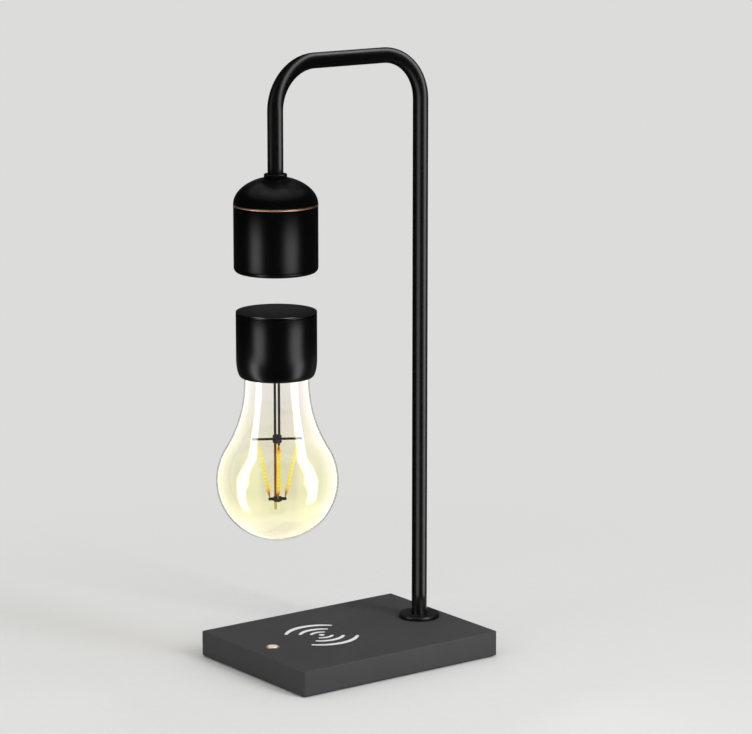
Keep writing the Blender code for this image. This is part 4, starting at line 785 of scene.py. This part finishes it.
def bent_tube(name, radius, foot, end):
    """An open tube along the stand's route: a circle, pulled up the post from its foot, spun round
    both bends and pulled down to its end over the head."""
    level = BEND_HEIGHT * MM
    tube = begin(
        name,
        bpy.ops.mesh.primitive_circle_add,
        vertices=SMALL_SIDES,
        radius=radius * MM,
        location=(POST_AXIS[0] * MM, 0.0, foot * MM),
    )
    bpy.ops.object.mode_set(mode="EDIT")
    bpy.ops.mesh.select_mode(type="EDGE")
    extrude(0.0, 0.0, level - foot * MM)
    post_side = (POST_AXIS[0] - BEND_RADIUS) * MM
    head_side = (HEAD_AXIS[0] + BEND_RADIUS) * MM
    pulls = ((head_side - post_side, 0.0, 0.0), (0.0, 0.0, end * MM - level))
    for centre, pull in zip((post_side, head_side), pulls):
        bend = {"center": (centre, 0.0, level), "axis": (0.0, 1.0, 0.0)}
        bpy.ops.mesh.spin(steps=28, angle=math.radians(90), **bend)
        extrude(*pull)
    leave_edit()
    return place(tube)


tube = bent_tube("bent_tube", TUBE_RADIUS, TUBE_FOOT, TUBE_END)
modify(tube, "SOLIDIFY", thickness=TUBE_WALL * MM, offset=-1.0, use_even_offset=True)
dress(tube, "stand", "black_painted_metal", "stem_tube")

# Head: a collar, a dome with a hollow and a spigot, a copper ring and a cup
outline = [(TUBE_HOLE, 323.35, 0.2), (7.3, 323.35, 0.6), (7.3, 320.95, 0.3), (TUBE_HOLE, 320.95)]
collar = turned("tube_collar", outline, HEAD_AXIS)
dress(collar, "stand", "black_painted_metal", "head_collar")


def dome_curve(radius, height, start, end, steps):
    """Points along the dome's curve, which is fuller than an ellipse, between two heights."""
    first = math.asin(((start - DOME_BOTTOM) / height) ** (DOME_FULLNESS / 2))
    last = math.asin(((end - DOME_BOTTOM) / height) ** (DOME_FULLNESS / 2))
    points = []
    for i in range(steps + 1):
        angle = first + (last - first) * i / steps
        out = math.cos(angle) ** (2 / DOME_FULLNESS)
        rise = math.sin(angle) ** (2 / DOME_FULLNESS)
        points.append((radius * out, DOME_BOTTOM + height * rise))
    return points


outline = [(HEAD_RADIUS, DOME_BOTTOM), *dome_curve(HEAD_RADIUS, 17.1, 304.75, 320.65, 40)]
outline += [(TUBE_HOLE, 320.65), (TUBE_HOLE, 319.05)]
outline += dome_curve(CUP_RADIUS, 15.5, 319.05, 306.2, 16)
outline += [(23.4, 306.2), (23.4, 297.6), (24.8, 297.6), (24.8, DOME_BOTTOM)]
dome = turned("head_dome_cover", outline, HEAD_AXIS)
dress(dome, "stand", "black_gloss_plastic", "head_dome")

outline = [(CUP_RADIUS, 304.3), (26.85, 304.3, 0.35), (26.85, 303.1, 0.35), (CUP_RADIUS, 303.1)]
trim = turned("copper_ring", outline, HEAD_AXIS)
dress(trim, "stand", "copper_trim", "head_trim_ring")

outline = [(0.0, 262.6), (CUP_RADIUS, 262.6, 1.9), (CUP_RADIUS, 302.8)]
outline += [(HEAD_RADIUS, 302.8, 0.3), (HEAD_RADIUS, 260.8, 3.5), (0.0, 260.8)]
cup = turned("head_cup", outline, HEAD_AXIS)
dress(cup, "stand", "black_gloss_plastic", "head_sleeve")

# Floating bulb: a lid whose rounded edge is glossier and carries a painted highlight line, a cap,
# and glass whose inner wall takes the lustre with its painted glow
outline = [(0.0, 236.2), (CAP_RADIUS, 236.2, 0.6), (CAP_RADIUS, 234.7, 0.15), (23.9, 234.7)]
outline += [(23.9, 232.7), (22.7, 232.7), (22.7, 234.7), (0.0, 234.7)]
lid = turned("cap_lid", outline, HEAD_AXIS)
dress(lid, "bulb", "black_gloss_plastic", "bulb_cap_lid")


def on_lid_edge(face):
    """Whether a face is on the rounded edge of the lid's top."""
    return 235.6 * MM < face.calc_center_median().z < 236.19 * MM and abs(face.normal.z) < 0.98


# The lid's rounded edge takes the glossier, lighter black of its painted highlight line
finish_faces(lid, GLOSS_EDGE_PAINTED_HIGHLIGHT, on_lid_edge)

outline = [(24.2, 234.4), (CAP_RADIUS, 234.4, 0.3)]
outline += arc((22.5, 206.0), (3.2, 12.0), 0, -90, 20)
outline += arc((21.0, 206.0), (3.2, 12.0), -90, 0, 10)
cap = turned("cap_shell", outline, HEAD_AXIS)
dress(cap, "bulb", "black_gloss_plastic", "bulb_cap")


def glass_curve(inset, steps):
    """The blown bulb from its neck to its lowest point, drawn in by the inset."""
    rise = NECK_HEIGHT - BELLY_HEIGHT
    flare = rise**2 - BELLY_RADIUS**2 + NECK_RADIUS**2
    shoulder = flare / (2 * (BELLY_RADIUS - NECK_RADIUS))
    meeting = math.degrees(math.atan2(rise, NECK_RADIUS + shoulder))
    around = (shoulder + inset, shoulder + inset)
    belly = BELLY_RADIUS - inset
    points = [(NECK_RADIUS - inset, GLASS_TOP)]
    shoulder_centre = (NECK_RADIUS + shoulder, NECK_HEIGHT)
    points += arc(shoulder_centre, around, 180, 180 + meeting, steps)[:-1]
    points += arc((0.0, BELLY_HEIGHT), (belly, belly), meeting, 0, steps // 2)[:-1]
    points += arc((0.0, BELLY_HEIGHT), (belly, BELLY_DEPTH - inset), 0, -90, steps)[:-1]
    return points + [(0.0, BELLY_HEIGHT - BELLY_DEPTH + inset)]


glass = turned("blown_bulb", glass_curve(GLASS_WALL, 24)[::-1] + glass_curve(0.0, 24), HEAD_AXIS)
dress(glass, "bulb", "tinted_glass", "glass_envelope")
belly_middle = BELOW_HEAD + Vector((0.0, 0.0, BELLY_HEIGHT * MM))


def faces_inwards(face):
    """Whether a face of the glass looks at the middle of its belly, below the cap."""
    middle = face.calc_center_median()
    return face.normal.dot(middle - belly_middle) < 0.0 and middle.z < 200 * MM


finish_faces(glass, LUSTRE_AND_PAINTED_GLOW, faces_inwards)

# Filament mount, set out from the bulb's axis and turned with the bulb: two leads, a cross, a
# hub, a glass stem and four leaning filaments
for name, turn, bottom, node in (
    ("long_lead", 180, 107.4, "lead_rod_long"),
    ("short_lead", 0, 150.8, "lead_rod_short"),
):
    ends = (bulb_point(LEAD_OUT, turn, bottom), bulb_point(LEAD_OUT, turn, 212.9))
    dress(rod(name, *ends, 0.8, WIRE_SIDES), "bulb", "dark_lead_wire", node)

for name, height, wide, half, reach, radius, node, holes in (
    ("upper_cross", 153.3, 2.9, 2.5, 16.0, 0.8, "upper_spider", (0, 180)),
    ("lower_cross", HUB_HEIGHT, 2.8, 1.5, 5.8, 1.0, "lower_hub", (180,)),
):
    top, bottom = height + half, height - half
    outline = [(0.0, top), (wide, top, 0.5), (wide, bottom, 0.5), (0.0, bottom)]
    hub = turned(name, outline, HEAD_AXIS, 32)
    for turn in (0, 90):
        ends = (bulb_point(-reach, turn, height), bulb_point(reach, turn, height))
        combine(hub, rod("bar", *ends, radius), "UNION")
    for turn in holes:
        centre = bulb_point(LEAD_OUT, turn, height) / MM
        drill(hub, centre, LEAD_HOLE, 2 * half + 2.0, sides=WIRE_SIDES)
    dress(hub, "bulb", "dark_lead_wire", node)

outline = [(0.0, 199.0), (3.2, 199.0), (18.4, 203.0), (19.4, 203.0, 0.3)]
outline += [(19.4, 202.0, 0.3), (3.2, 198.0, 0.8), (3.2, 195.0, 0.6), (0.0, 195.0)]
stem = turned("stem_flare", outline, HEAD_AXIS)
for turn in (0, 180):
    drill(stem, bulb_point(LEAD_OUT, turn, 197.0) / MM, LEAD_HOLE, 8.0, sides=WIRE_SIDES)
dress(stem, "bulb", "clear_glass", "glass_stem")

# Each filament is a coated strip with a holder and a pin at both ends. It stands on its foot at
# the origin before it is placed and leans outwards
lean = Vector((8.0, 0.0, FILAMENT_TOP - FILAMENT_FOOT))
end = lean.length
outline = [(0.0, end), (0.45, end), (0.45, end - 1.6), (0.8, end - 1.8, 0.1)]
outline += [(0.8, end - 3.4), (1.2, end - 3.6, 0.2), (1.2, 3.6, 0.2), (0.8, 3.4)]
outline += [(0.8, 1.8, 0.1), (0.45, 1.6), (0.45, 0.0), (0.0, 0.0)]
filament = turned("filament_strip_1", outline, sides=WIRE_SIDES)
for number, piece in enumerate(copies(filament, 4)):
    turn = 90 * number
    piece.location = bulb_point(5.0, turn, FILAMENT_FOOT)
    piece.rotation_euler = (0.0, math.atan2(lean.x, lean.z), BULB_TURN + math.radians(turn))
    dress(piece, "bulb", "filament_phosphor", f"filament_{number + 1}")

# Power inlet in the end wall by the post
outline = [(0.0, 4.8), (2.1, 4.8), (2.1, 14.3, 0.2), (2.9, 14.3, 0.2), (2.9, 2.0), (0.0, 2.0)]
inlet = turned("inlet_barrel", outline, sides=SMALL_SIDES)
inlet.rotation_euler = (0.0, math.radians(90), 0.0)
inlet.location = (63.2 * MM, INLET_AXIS[0] * MM, INLET_AXIS[1] * MM)
place(inlet)
case = block("inlet_body", (63.2, 24.75, 5.85), (75.2, 32.25, 11.95))
drill(case, (72.0, *INLET_AXIS), 2.5, 8.0, along_x=True)
combine(inlet, case, "UNION")
dress(inlet, "stand", "inner_plastic", "dc_jack")
ends = (Vector((x, *INLET_AXIS)) * MM for x in (67.6, 76.5))
dress(rod("inlet_pin", *ends, 0.65), "stand", "magnet_nickel", "dc_jack")

# Cover screws with a cross recess
outline = [(0.0, 9.8), (1.5, 9.8, 0.3), (1.5, 2.0), (2.8, 1.0), (2.8, 0.8, 0.08), (0.0, 0.8)]
screw = turned("cover_screw_1", outline, sides=32)
for name, x, y in (("slot_x", 1.5, 0.35), ("slot_y", 0.35, 1.5)):
    combine(screw, block(name, (-x, -y, 0.0), (x, y, 1.7)), "DIFFERENCE")
corners = ((-68.5, -49.0), (-68.5, 49.0), (68.5, -49.0), (68.5, 49.0))
for number, (piece, (x, y)) in enumerate(zip(copies(screw, 4), corners), 1):
    piece.location = (x * MM, y * MM, 0.0)
    piece.rotation_euler = (0.0, 0.0, math.radians(17 * number))
    dress(piece, "stand", "plain_steel", f"base_screw_{number}")

# Finishes of the CAD nodes, shown or hidden
for part in frame["record"]["subparts"]:
    node = frame["nodes"][part["node"]]
    node.data.materials.clear()
    node.data.materials.append(FINISHES[part["material_slot"]])


# ---------------------------------------------------------------- floor, light and camera

PALE = "#DCDCDB"


def backdrop_rays(add):
    """1 for the rays that see the backdrop, from the camera, gloss and glass, and 0 for the rest."""
    rays = add("LightPath").outputs
    seen = (rays["Is Camera Ray"], rays["Is Glossy Ray"])
    seen = (add("Math", seen, operation="MAXIMUM"), rays["Is Transmission Ray"])
    return add("Math", seen, operation="MAXIMUM")


def matt_paper_floor(add, coords):
    """Pale seamless paper: it keeps the lamp's shadow near it and is an even pale field further
    out."""
    fibre = add("TexNoise", {"Vector": coords, "Scale": per_mm(6), "Detail": 3.0})
    look = grained(add, fibre, (PALE, "#E0E0DF"), 0.9)
    paper = add("BsdfPrincipled", {**look, "Specular IOR Level": 0.1})
    field = add("Emission", {"Color": linear(PALE)})
    flat = add("VectorMath", (coords, (1.0, 1.0, 0.0)), operation="MULTIPLY")
    out = add("VectorMath", (flat,), operation="LENGTH")
    far = add("MapRange", (out, 0.12, 0.5), interpolation_type="SMOOTHSTEP")
    share = add("Math", (backdrop_rays(add), far), operation="MULTIPLY")
    return add("MixShader", (share, paper, field))


floor = begin(
    "floor", bpy.ops.mesh.primitive_plane_add, size=60.0, location=(0.0, 0.0, -0.2 * MM)
)
floor.data.materials.append(material("matt_paper_floor", matt_paper_floor))

world = bpy.data.worlds.new("soft_room")
bpy.context.scene.world = world
world.use_nodes = True
world.node_tree.nodes.clear()
add = functools.partial(add_node, world.node_tree)
fill = add("Background", {"Color": linear("#FFFFFF"), "Strength": 0.55})
backdrop = add("Background", {"Color": linear(PALE)})
both = add("MixShader", (backdrop_rays(add), fill, backdrop))
add("OutputWorld", {"Surface": both})


def soft_lamp(name, spot, width, height, radiance):
    """An even rectangular light, which the camera and the glass don't see."""
    data = bpy.data.lights.new(name, "AREA")
    data.shape = "RECTANGLE"
    data.size = width
    data.size_y = height
    data.energy = radiance * math.pi * width * height
    lamp = bpy.data.objects.new(name, data)
    lamp.location = spot
    lamp.visible_camera = False
    lamp.visible_transmission = False
    bpy.context.scene.collection.objects.link(lamp)
    return lamp


# Two tall softboxes face the bulb from the left and right of the camera. Turns round the head's
# axis are in degrees from the camera's side, less than 0 to the left
SOFTBOX_DISTANCE = 2.2
SOFTBOX_WIDTH = 0.64
SOFTBOX_HEIGHT = 3.2
for name, turn, radiance in (("left_softbox", -56, 1.6), ("right_softbox", 52, 9.0)):
    angle = CAMERA_TURN + math.radians(turn)
    centre = BELOW_HEAD + Vector((0.0, 0.0, SOFTBOX_HEIGHT / 2))
    spot = centre + SOFTBOX_DISTANCE * Vector((math.cos(angle), math.sin(angle), 0.0))
    lamp = soft_lamp(name, spot, SOFTBOX_WIDTH, SOFTBOX_HEIGHT, radiance)
    lamp.rotation_euler = (centre - spot).to_track_quat("-Z", "Y").to_euler()
    lamp.visible_glossy = False


def only_in_gloss(screen, name, build, *values):
    """Stage a screen that nothing but gloss sees."""
    place(screen)
    screen.data.materials.append(material(name, build, *values))
    screen.visible_camera = False
    screen.visible_diffuse = False
    screen.visible_transmission = False
    screen.visible_shadow = False


def camera_side_first(add, coords):
    """Coordinates about the head's axis, turned so that +X points to the camera's side."""
    centred = add("VectorMath", (coords, BELOW_HEAD), operation="SUBTRACT")
    turn = {"Vector": centred, "Angle": -CAMERA_TURN}
    return add("VectorRotate", turn, rotation_type="Z_AXIS")


PANEL_TURN = 68 / 360  # where the panels keep their place, as a share of a turn
# Level of the light by turn in degrees, left of the camera first and then right of it
PANEL_LEVELS = ((-150, 0.006), (-130, 0.0), (-81, 0.0), (-74, 0.8), (-54, 1.0), (-46, 0.0))
PANEL_LEVELS += ((42, 0.0), (50, 1.0), (76, 0.8), (83, 0.0), (130, 0.0), (150, 0.006))


def black_cloth_with_panels(add, coords):
    """A funnel of black cloth with a lit white panel left and right, which only gloss sees: it puts
    the two white bands on the glass and keeps the rest of it clear."""
    # A radial gradient reads 0.5 at +X, so it is the turn from the camera's side, as a share
    faced = {"Vector": camera_side_first(add, coords)}
    turn = add("TexGradient", faced, gradient_type="RADIAL").outputs["Fac"]
    turn = add("Math", (turn, 0.5), operation="SUBTRACT")
    # The panels are narrower near the floor, and again above the belly
    height = add("SeparateXYZ", (coords,)).outputs["Z"]
    high = add("MapRange", (height, 0.14, 0.22, 1.18, 1.42))
    squeeze = (height, 0.07, 0.14, 1.7, high)
    squeeze = add("MapRange", squeeze, interpolation_type="SMOOTHSTEP")
    apart = add("Math", (turn,), operation="ABSOLUTE")
    apart = add("Math", (apart, PANEL_TURN), operation="SUBTRACT")
    apart = (apart, squeeze, PANEL_TURN)
    apart = add("Math", apart, operation="MULTIPLY_ADD", use_clamp=True)
    side = add("Math", (turn,), operation="SIGN")
    lit = add("ValToRGB", (add("Math", (apart, side, 0.5), operation="MULTIPLY_ADD"),))
    stops = [(0.5 + angle / 360, (level, level, level, 1.0)) for angle, level in PANEL_LEVELS]
    set_stops(lit.color_ramp, stops)
    # Nothing is lit at the floor, and the cloth itself sends back a little
    fade = add("MapRange", (height, 0.0, 0.05, 0.0, 12.5), interpolation_type="SMOOTHSTEP")
    power = add("Math", (lit, fade, 0.02), operation="MULTIPLY_ADD")
    return add("Emission", {"Strength": power})


def black_cloth_with_strips(add, coords, strips):
    """Black cloth close round a black piece, with soft strips of light on its inside: it keeps the
    lacquer black to its edge and lays the soft bands along it.

    The strips function gives each strip as an angle round the piece, the angle that the strip lies
    at, its soft half width and its level.
    """
    power = 0.03
    for angle, middle, half_width, level in strips(add, coords):
        apart = add("Math", (angle, middle), operation="SUBTRACT")
        apart = add("Math", (apart,), operation="ABSOLUTE")
        edge = (apart, 0.25 * half_width, 1.5 * half_width, 1.0, 0.0)
        edge = add("MapRange", edge, interpolation_type="SMOOTHSTEP")
        power = add("Math", (edge, level, power), operation="MULTIPLY_ADD")
    glow = add("Emission", {"Strength": power})
    inside = add("NewGeometry").outputs["Backfacing"]
    return add("MixShader", (inside, add("BsdfTransparent"), glow))


def tube_strips(add, coords):
    """Two strips along the bent tube, by the angle round its middle line: 0 in front, 90
    outwards."""
    spot = add("SeparateXYZ", (coords,)).outputs
    middle = (POST_AXIS[0] + HEAD_AXIS[0]) / 2 * MM
    bend_side = (POST_AXIS[0] - BEND_RADIUS) * MM - middle
    # How far a spot lies past the nearer bend's centre, sideways and upwards
    x = add("Math", (spot["X"], middle), operation="SUBTRACT")
    across = add("Math", (x,), operation="ABSOLUTE")
    across = add("Math", (across, bend_side), operation="SUBTRACT")
    across = add("Math", (across, 0.0), operation="MAXIMUM")
    above = add("Math", (spot["Z"], BEND_HEIGHT * MM), operation="SUBTRACT")
    above = add("Math", (above, 0.0), operation="MAXIMUM")
    from_bend = add("CombineXYZ", (across, above))
    from_bend = add("VectorMath", (from_bend,), operation="LENGTH")
    outward = add("Math", (from_bend, BEND_RADIUS * MM), operation="SUBTRACT")
    forward = add("Math", (spot["Y"], -1.0), operation="MULTIPLY")
    angle = add("Math", (outward, forward), operation="ARCTAN2")
    # The main strip lies otherwise on the drop, on the post and on the arm, and the second one
    # fades as the tube bends
    post = add("Math", (x, 0.0), operation="GREATER_THAN")
    bent = add("Math", (above, across), operation="ARCTAN2")
    main = add("MapRange", (post, 0.0, 1.0, math.radians(-24), math.radians(24)))
    main = add("MapRange", (bent, 0.0, math.pi / 2, main, math.radians(80)))
    second = add("MapRange", (post, 0.0, 1.0, math.radians(93), math.radians(-58)))
    level = add("MapRange", (post, 0.0, 1.0, 0.7, 2.4))
    level = add("MapRange", (bent, 0.0, math.pi / 4, level, 0.0))
    half_width = math.radians(17)
    return ((angle, main, half_width, 4.2), (angle, second, half_width, level))


def head_strips(add, coords):
    """Two strips that the head and, further round, the bulb's cap mirror, and a dim light behind
    for the cap's lid, by the turn from the camera's side."""
    height = add("SeparateXYZ", (coords,)).outputs["Z"]
    spot = add("SeparateXYZ", (camera_side_first(add, coords),)).outputs
    turn = add("Math", (spot["Y"], spot["X"]), operation="ARCTAN2")
    # No light between the cap and the head, where the lid would mirror it
    gap = add("Math", (height, 0.241), operation="SUBTRACT")
    gap = add("Math", (gap,), operation="ABSOLUTE")
    gap = add("MapRange", (gap, 0.009, 0.014))
    strips = []
    # Turn of each strip at the cap and at the head, and its half width
    for at_cap, at_head, half_width in ((-40, -44, 13), (45, 33, 15)):
        change = (height, 0.23, 0.252)
        turns = (math.radians(at_cap), math.radians(at_head))
        middle = add("MapRange", (*change, *turns))
        level = add("MapRange", (*change, 8.4, 6.6))
        level = add("Math", (level, gap), operation="MULTIPLY")
        level = add("MapRange", (height, 0.278, 0.3, level, 0.0))
        strips.append((turn, middle, math.radians(half_width), level))
    from_front = add("Math", (turn,), operation="ABSOLUTE")
    strips.append((from_front, math.pi, math.radians(30), 0.07))
    return strips


cloth = begin(
    "black_cloth",
    bpy.ops.mesh.primitive_cone_add,
    vertices=SIDES,
    radius1=0.16,
    radius2=2.44,
    depth=2.4,
    end_fill_type="NOTHING",
    location=(0.0, 0.0, 1.2),
)
only_in_gloss(cloth, "black_cloth_with_panels", black_cloth_with_panels)
tube_screen = bent_tube("tube_screen", 12.0, 30.0, 325.0)
only_in_gloss(tube_screen, "tube_screen", black_cloth_with_strips, tube_strips)
head_screen = begin(
    "head_screen",
    bpy.ops.mesh.primitive_cylinder_add,
    vertices=SIDES,
    radius=60.0 * MM,
    depth=155.0 * MM,
    end_fill_type="NOTHING",
    location=(HEAD_AXIS[0] * MM, 0.0, 277.5 * MM),
)
only_in_gloss(head_screen, "head_screen", black_cloth_with_strips, head_strips)
soft_lamp("overhead_softbox", (0.0, 0.0, 1.7), 1.2, 1.2, 1.0)

lens = bpy.data.cameras.new("photo_camera")
lens.sensor_width = 36.0
lens.lens = 3200.0 / 752.0 * lens.sensor_width  # 3200 pixels, in a frame 752 pixels wide
lens.clip_start = 0.1
lens.clip_end = 200.0
camera = bpy.data.objects.new("photo_camera", lens)
camera.location = CAMERA_PLACE
camera.rotation_euler = (CAMERA_TARGET - CAMERA_PLACE).to_track_quat("-Z", "Y").to_euler()
bpy.context.scene.collection.objects.link(camera)
bpy.context.scene.camera = camera
bpy.context.scene.view_settings.view_transform = "Standard"
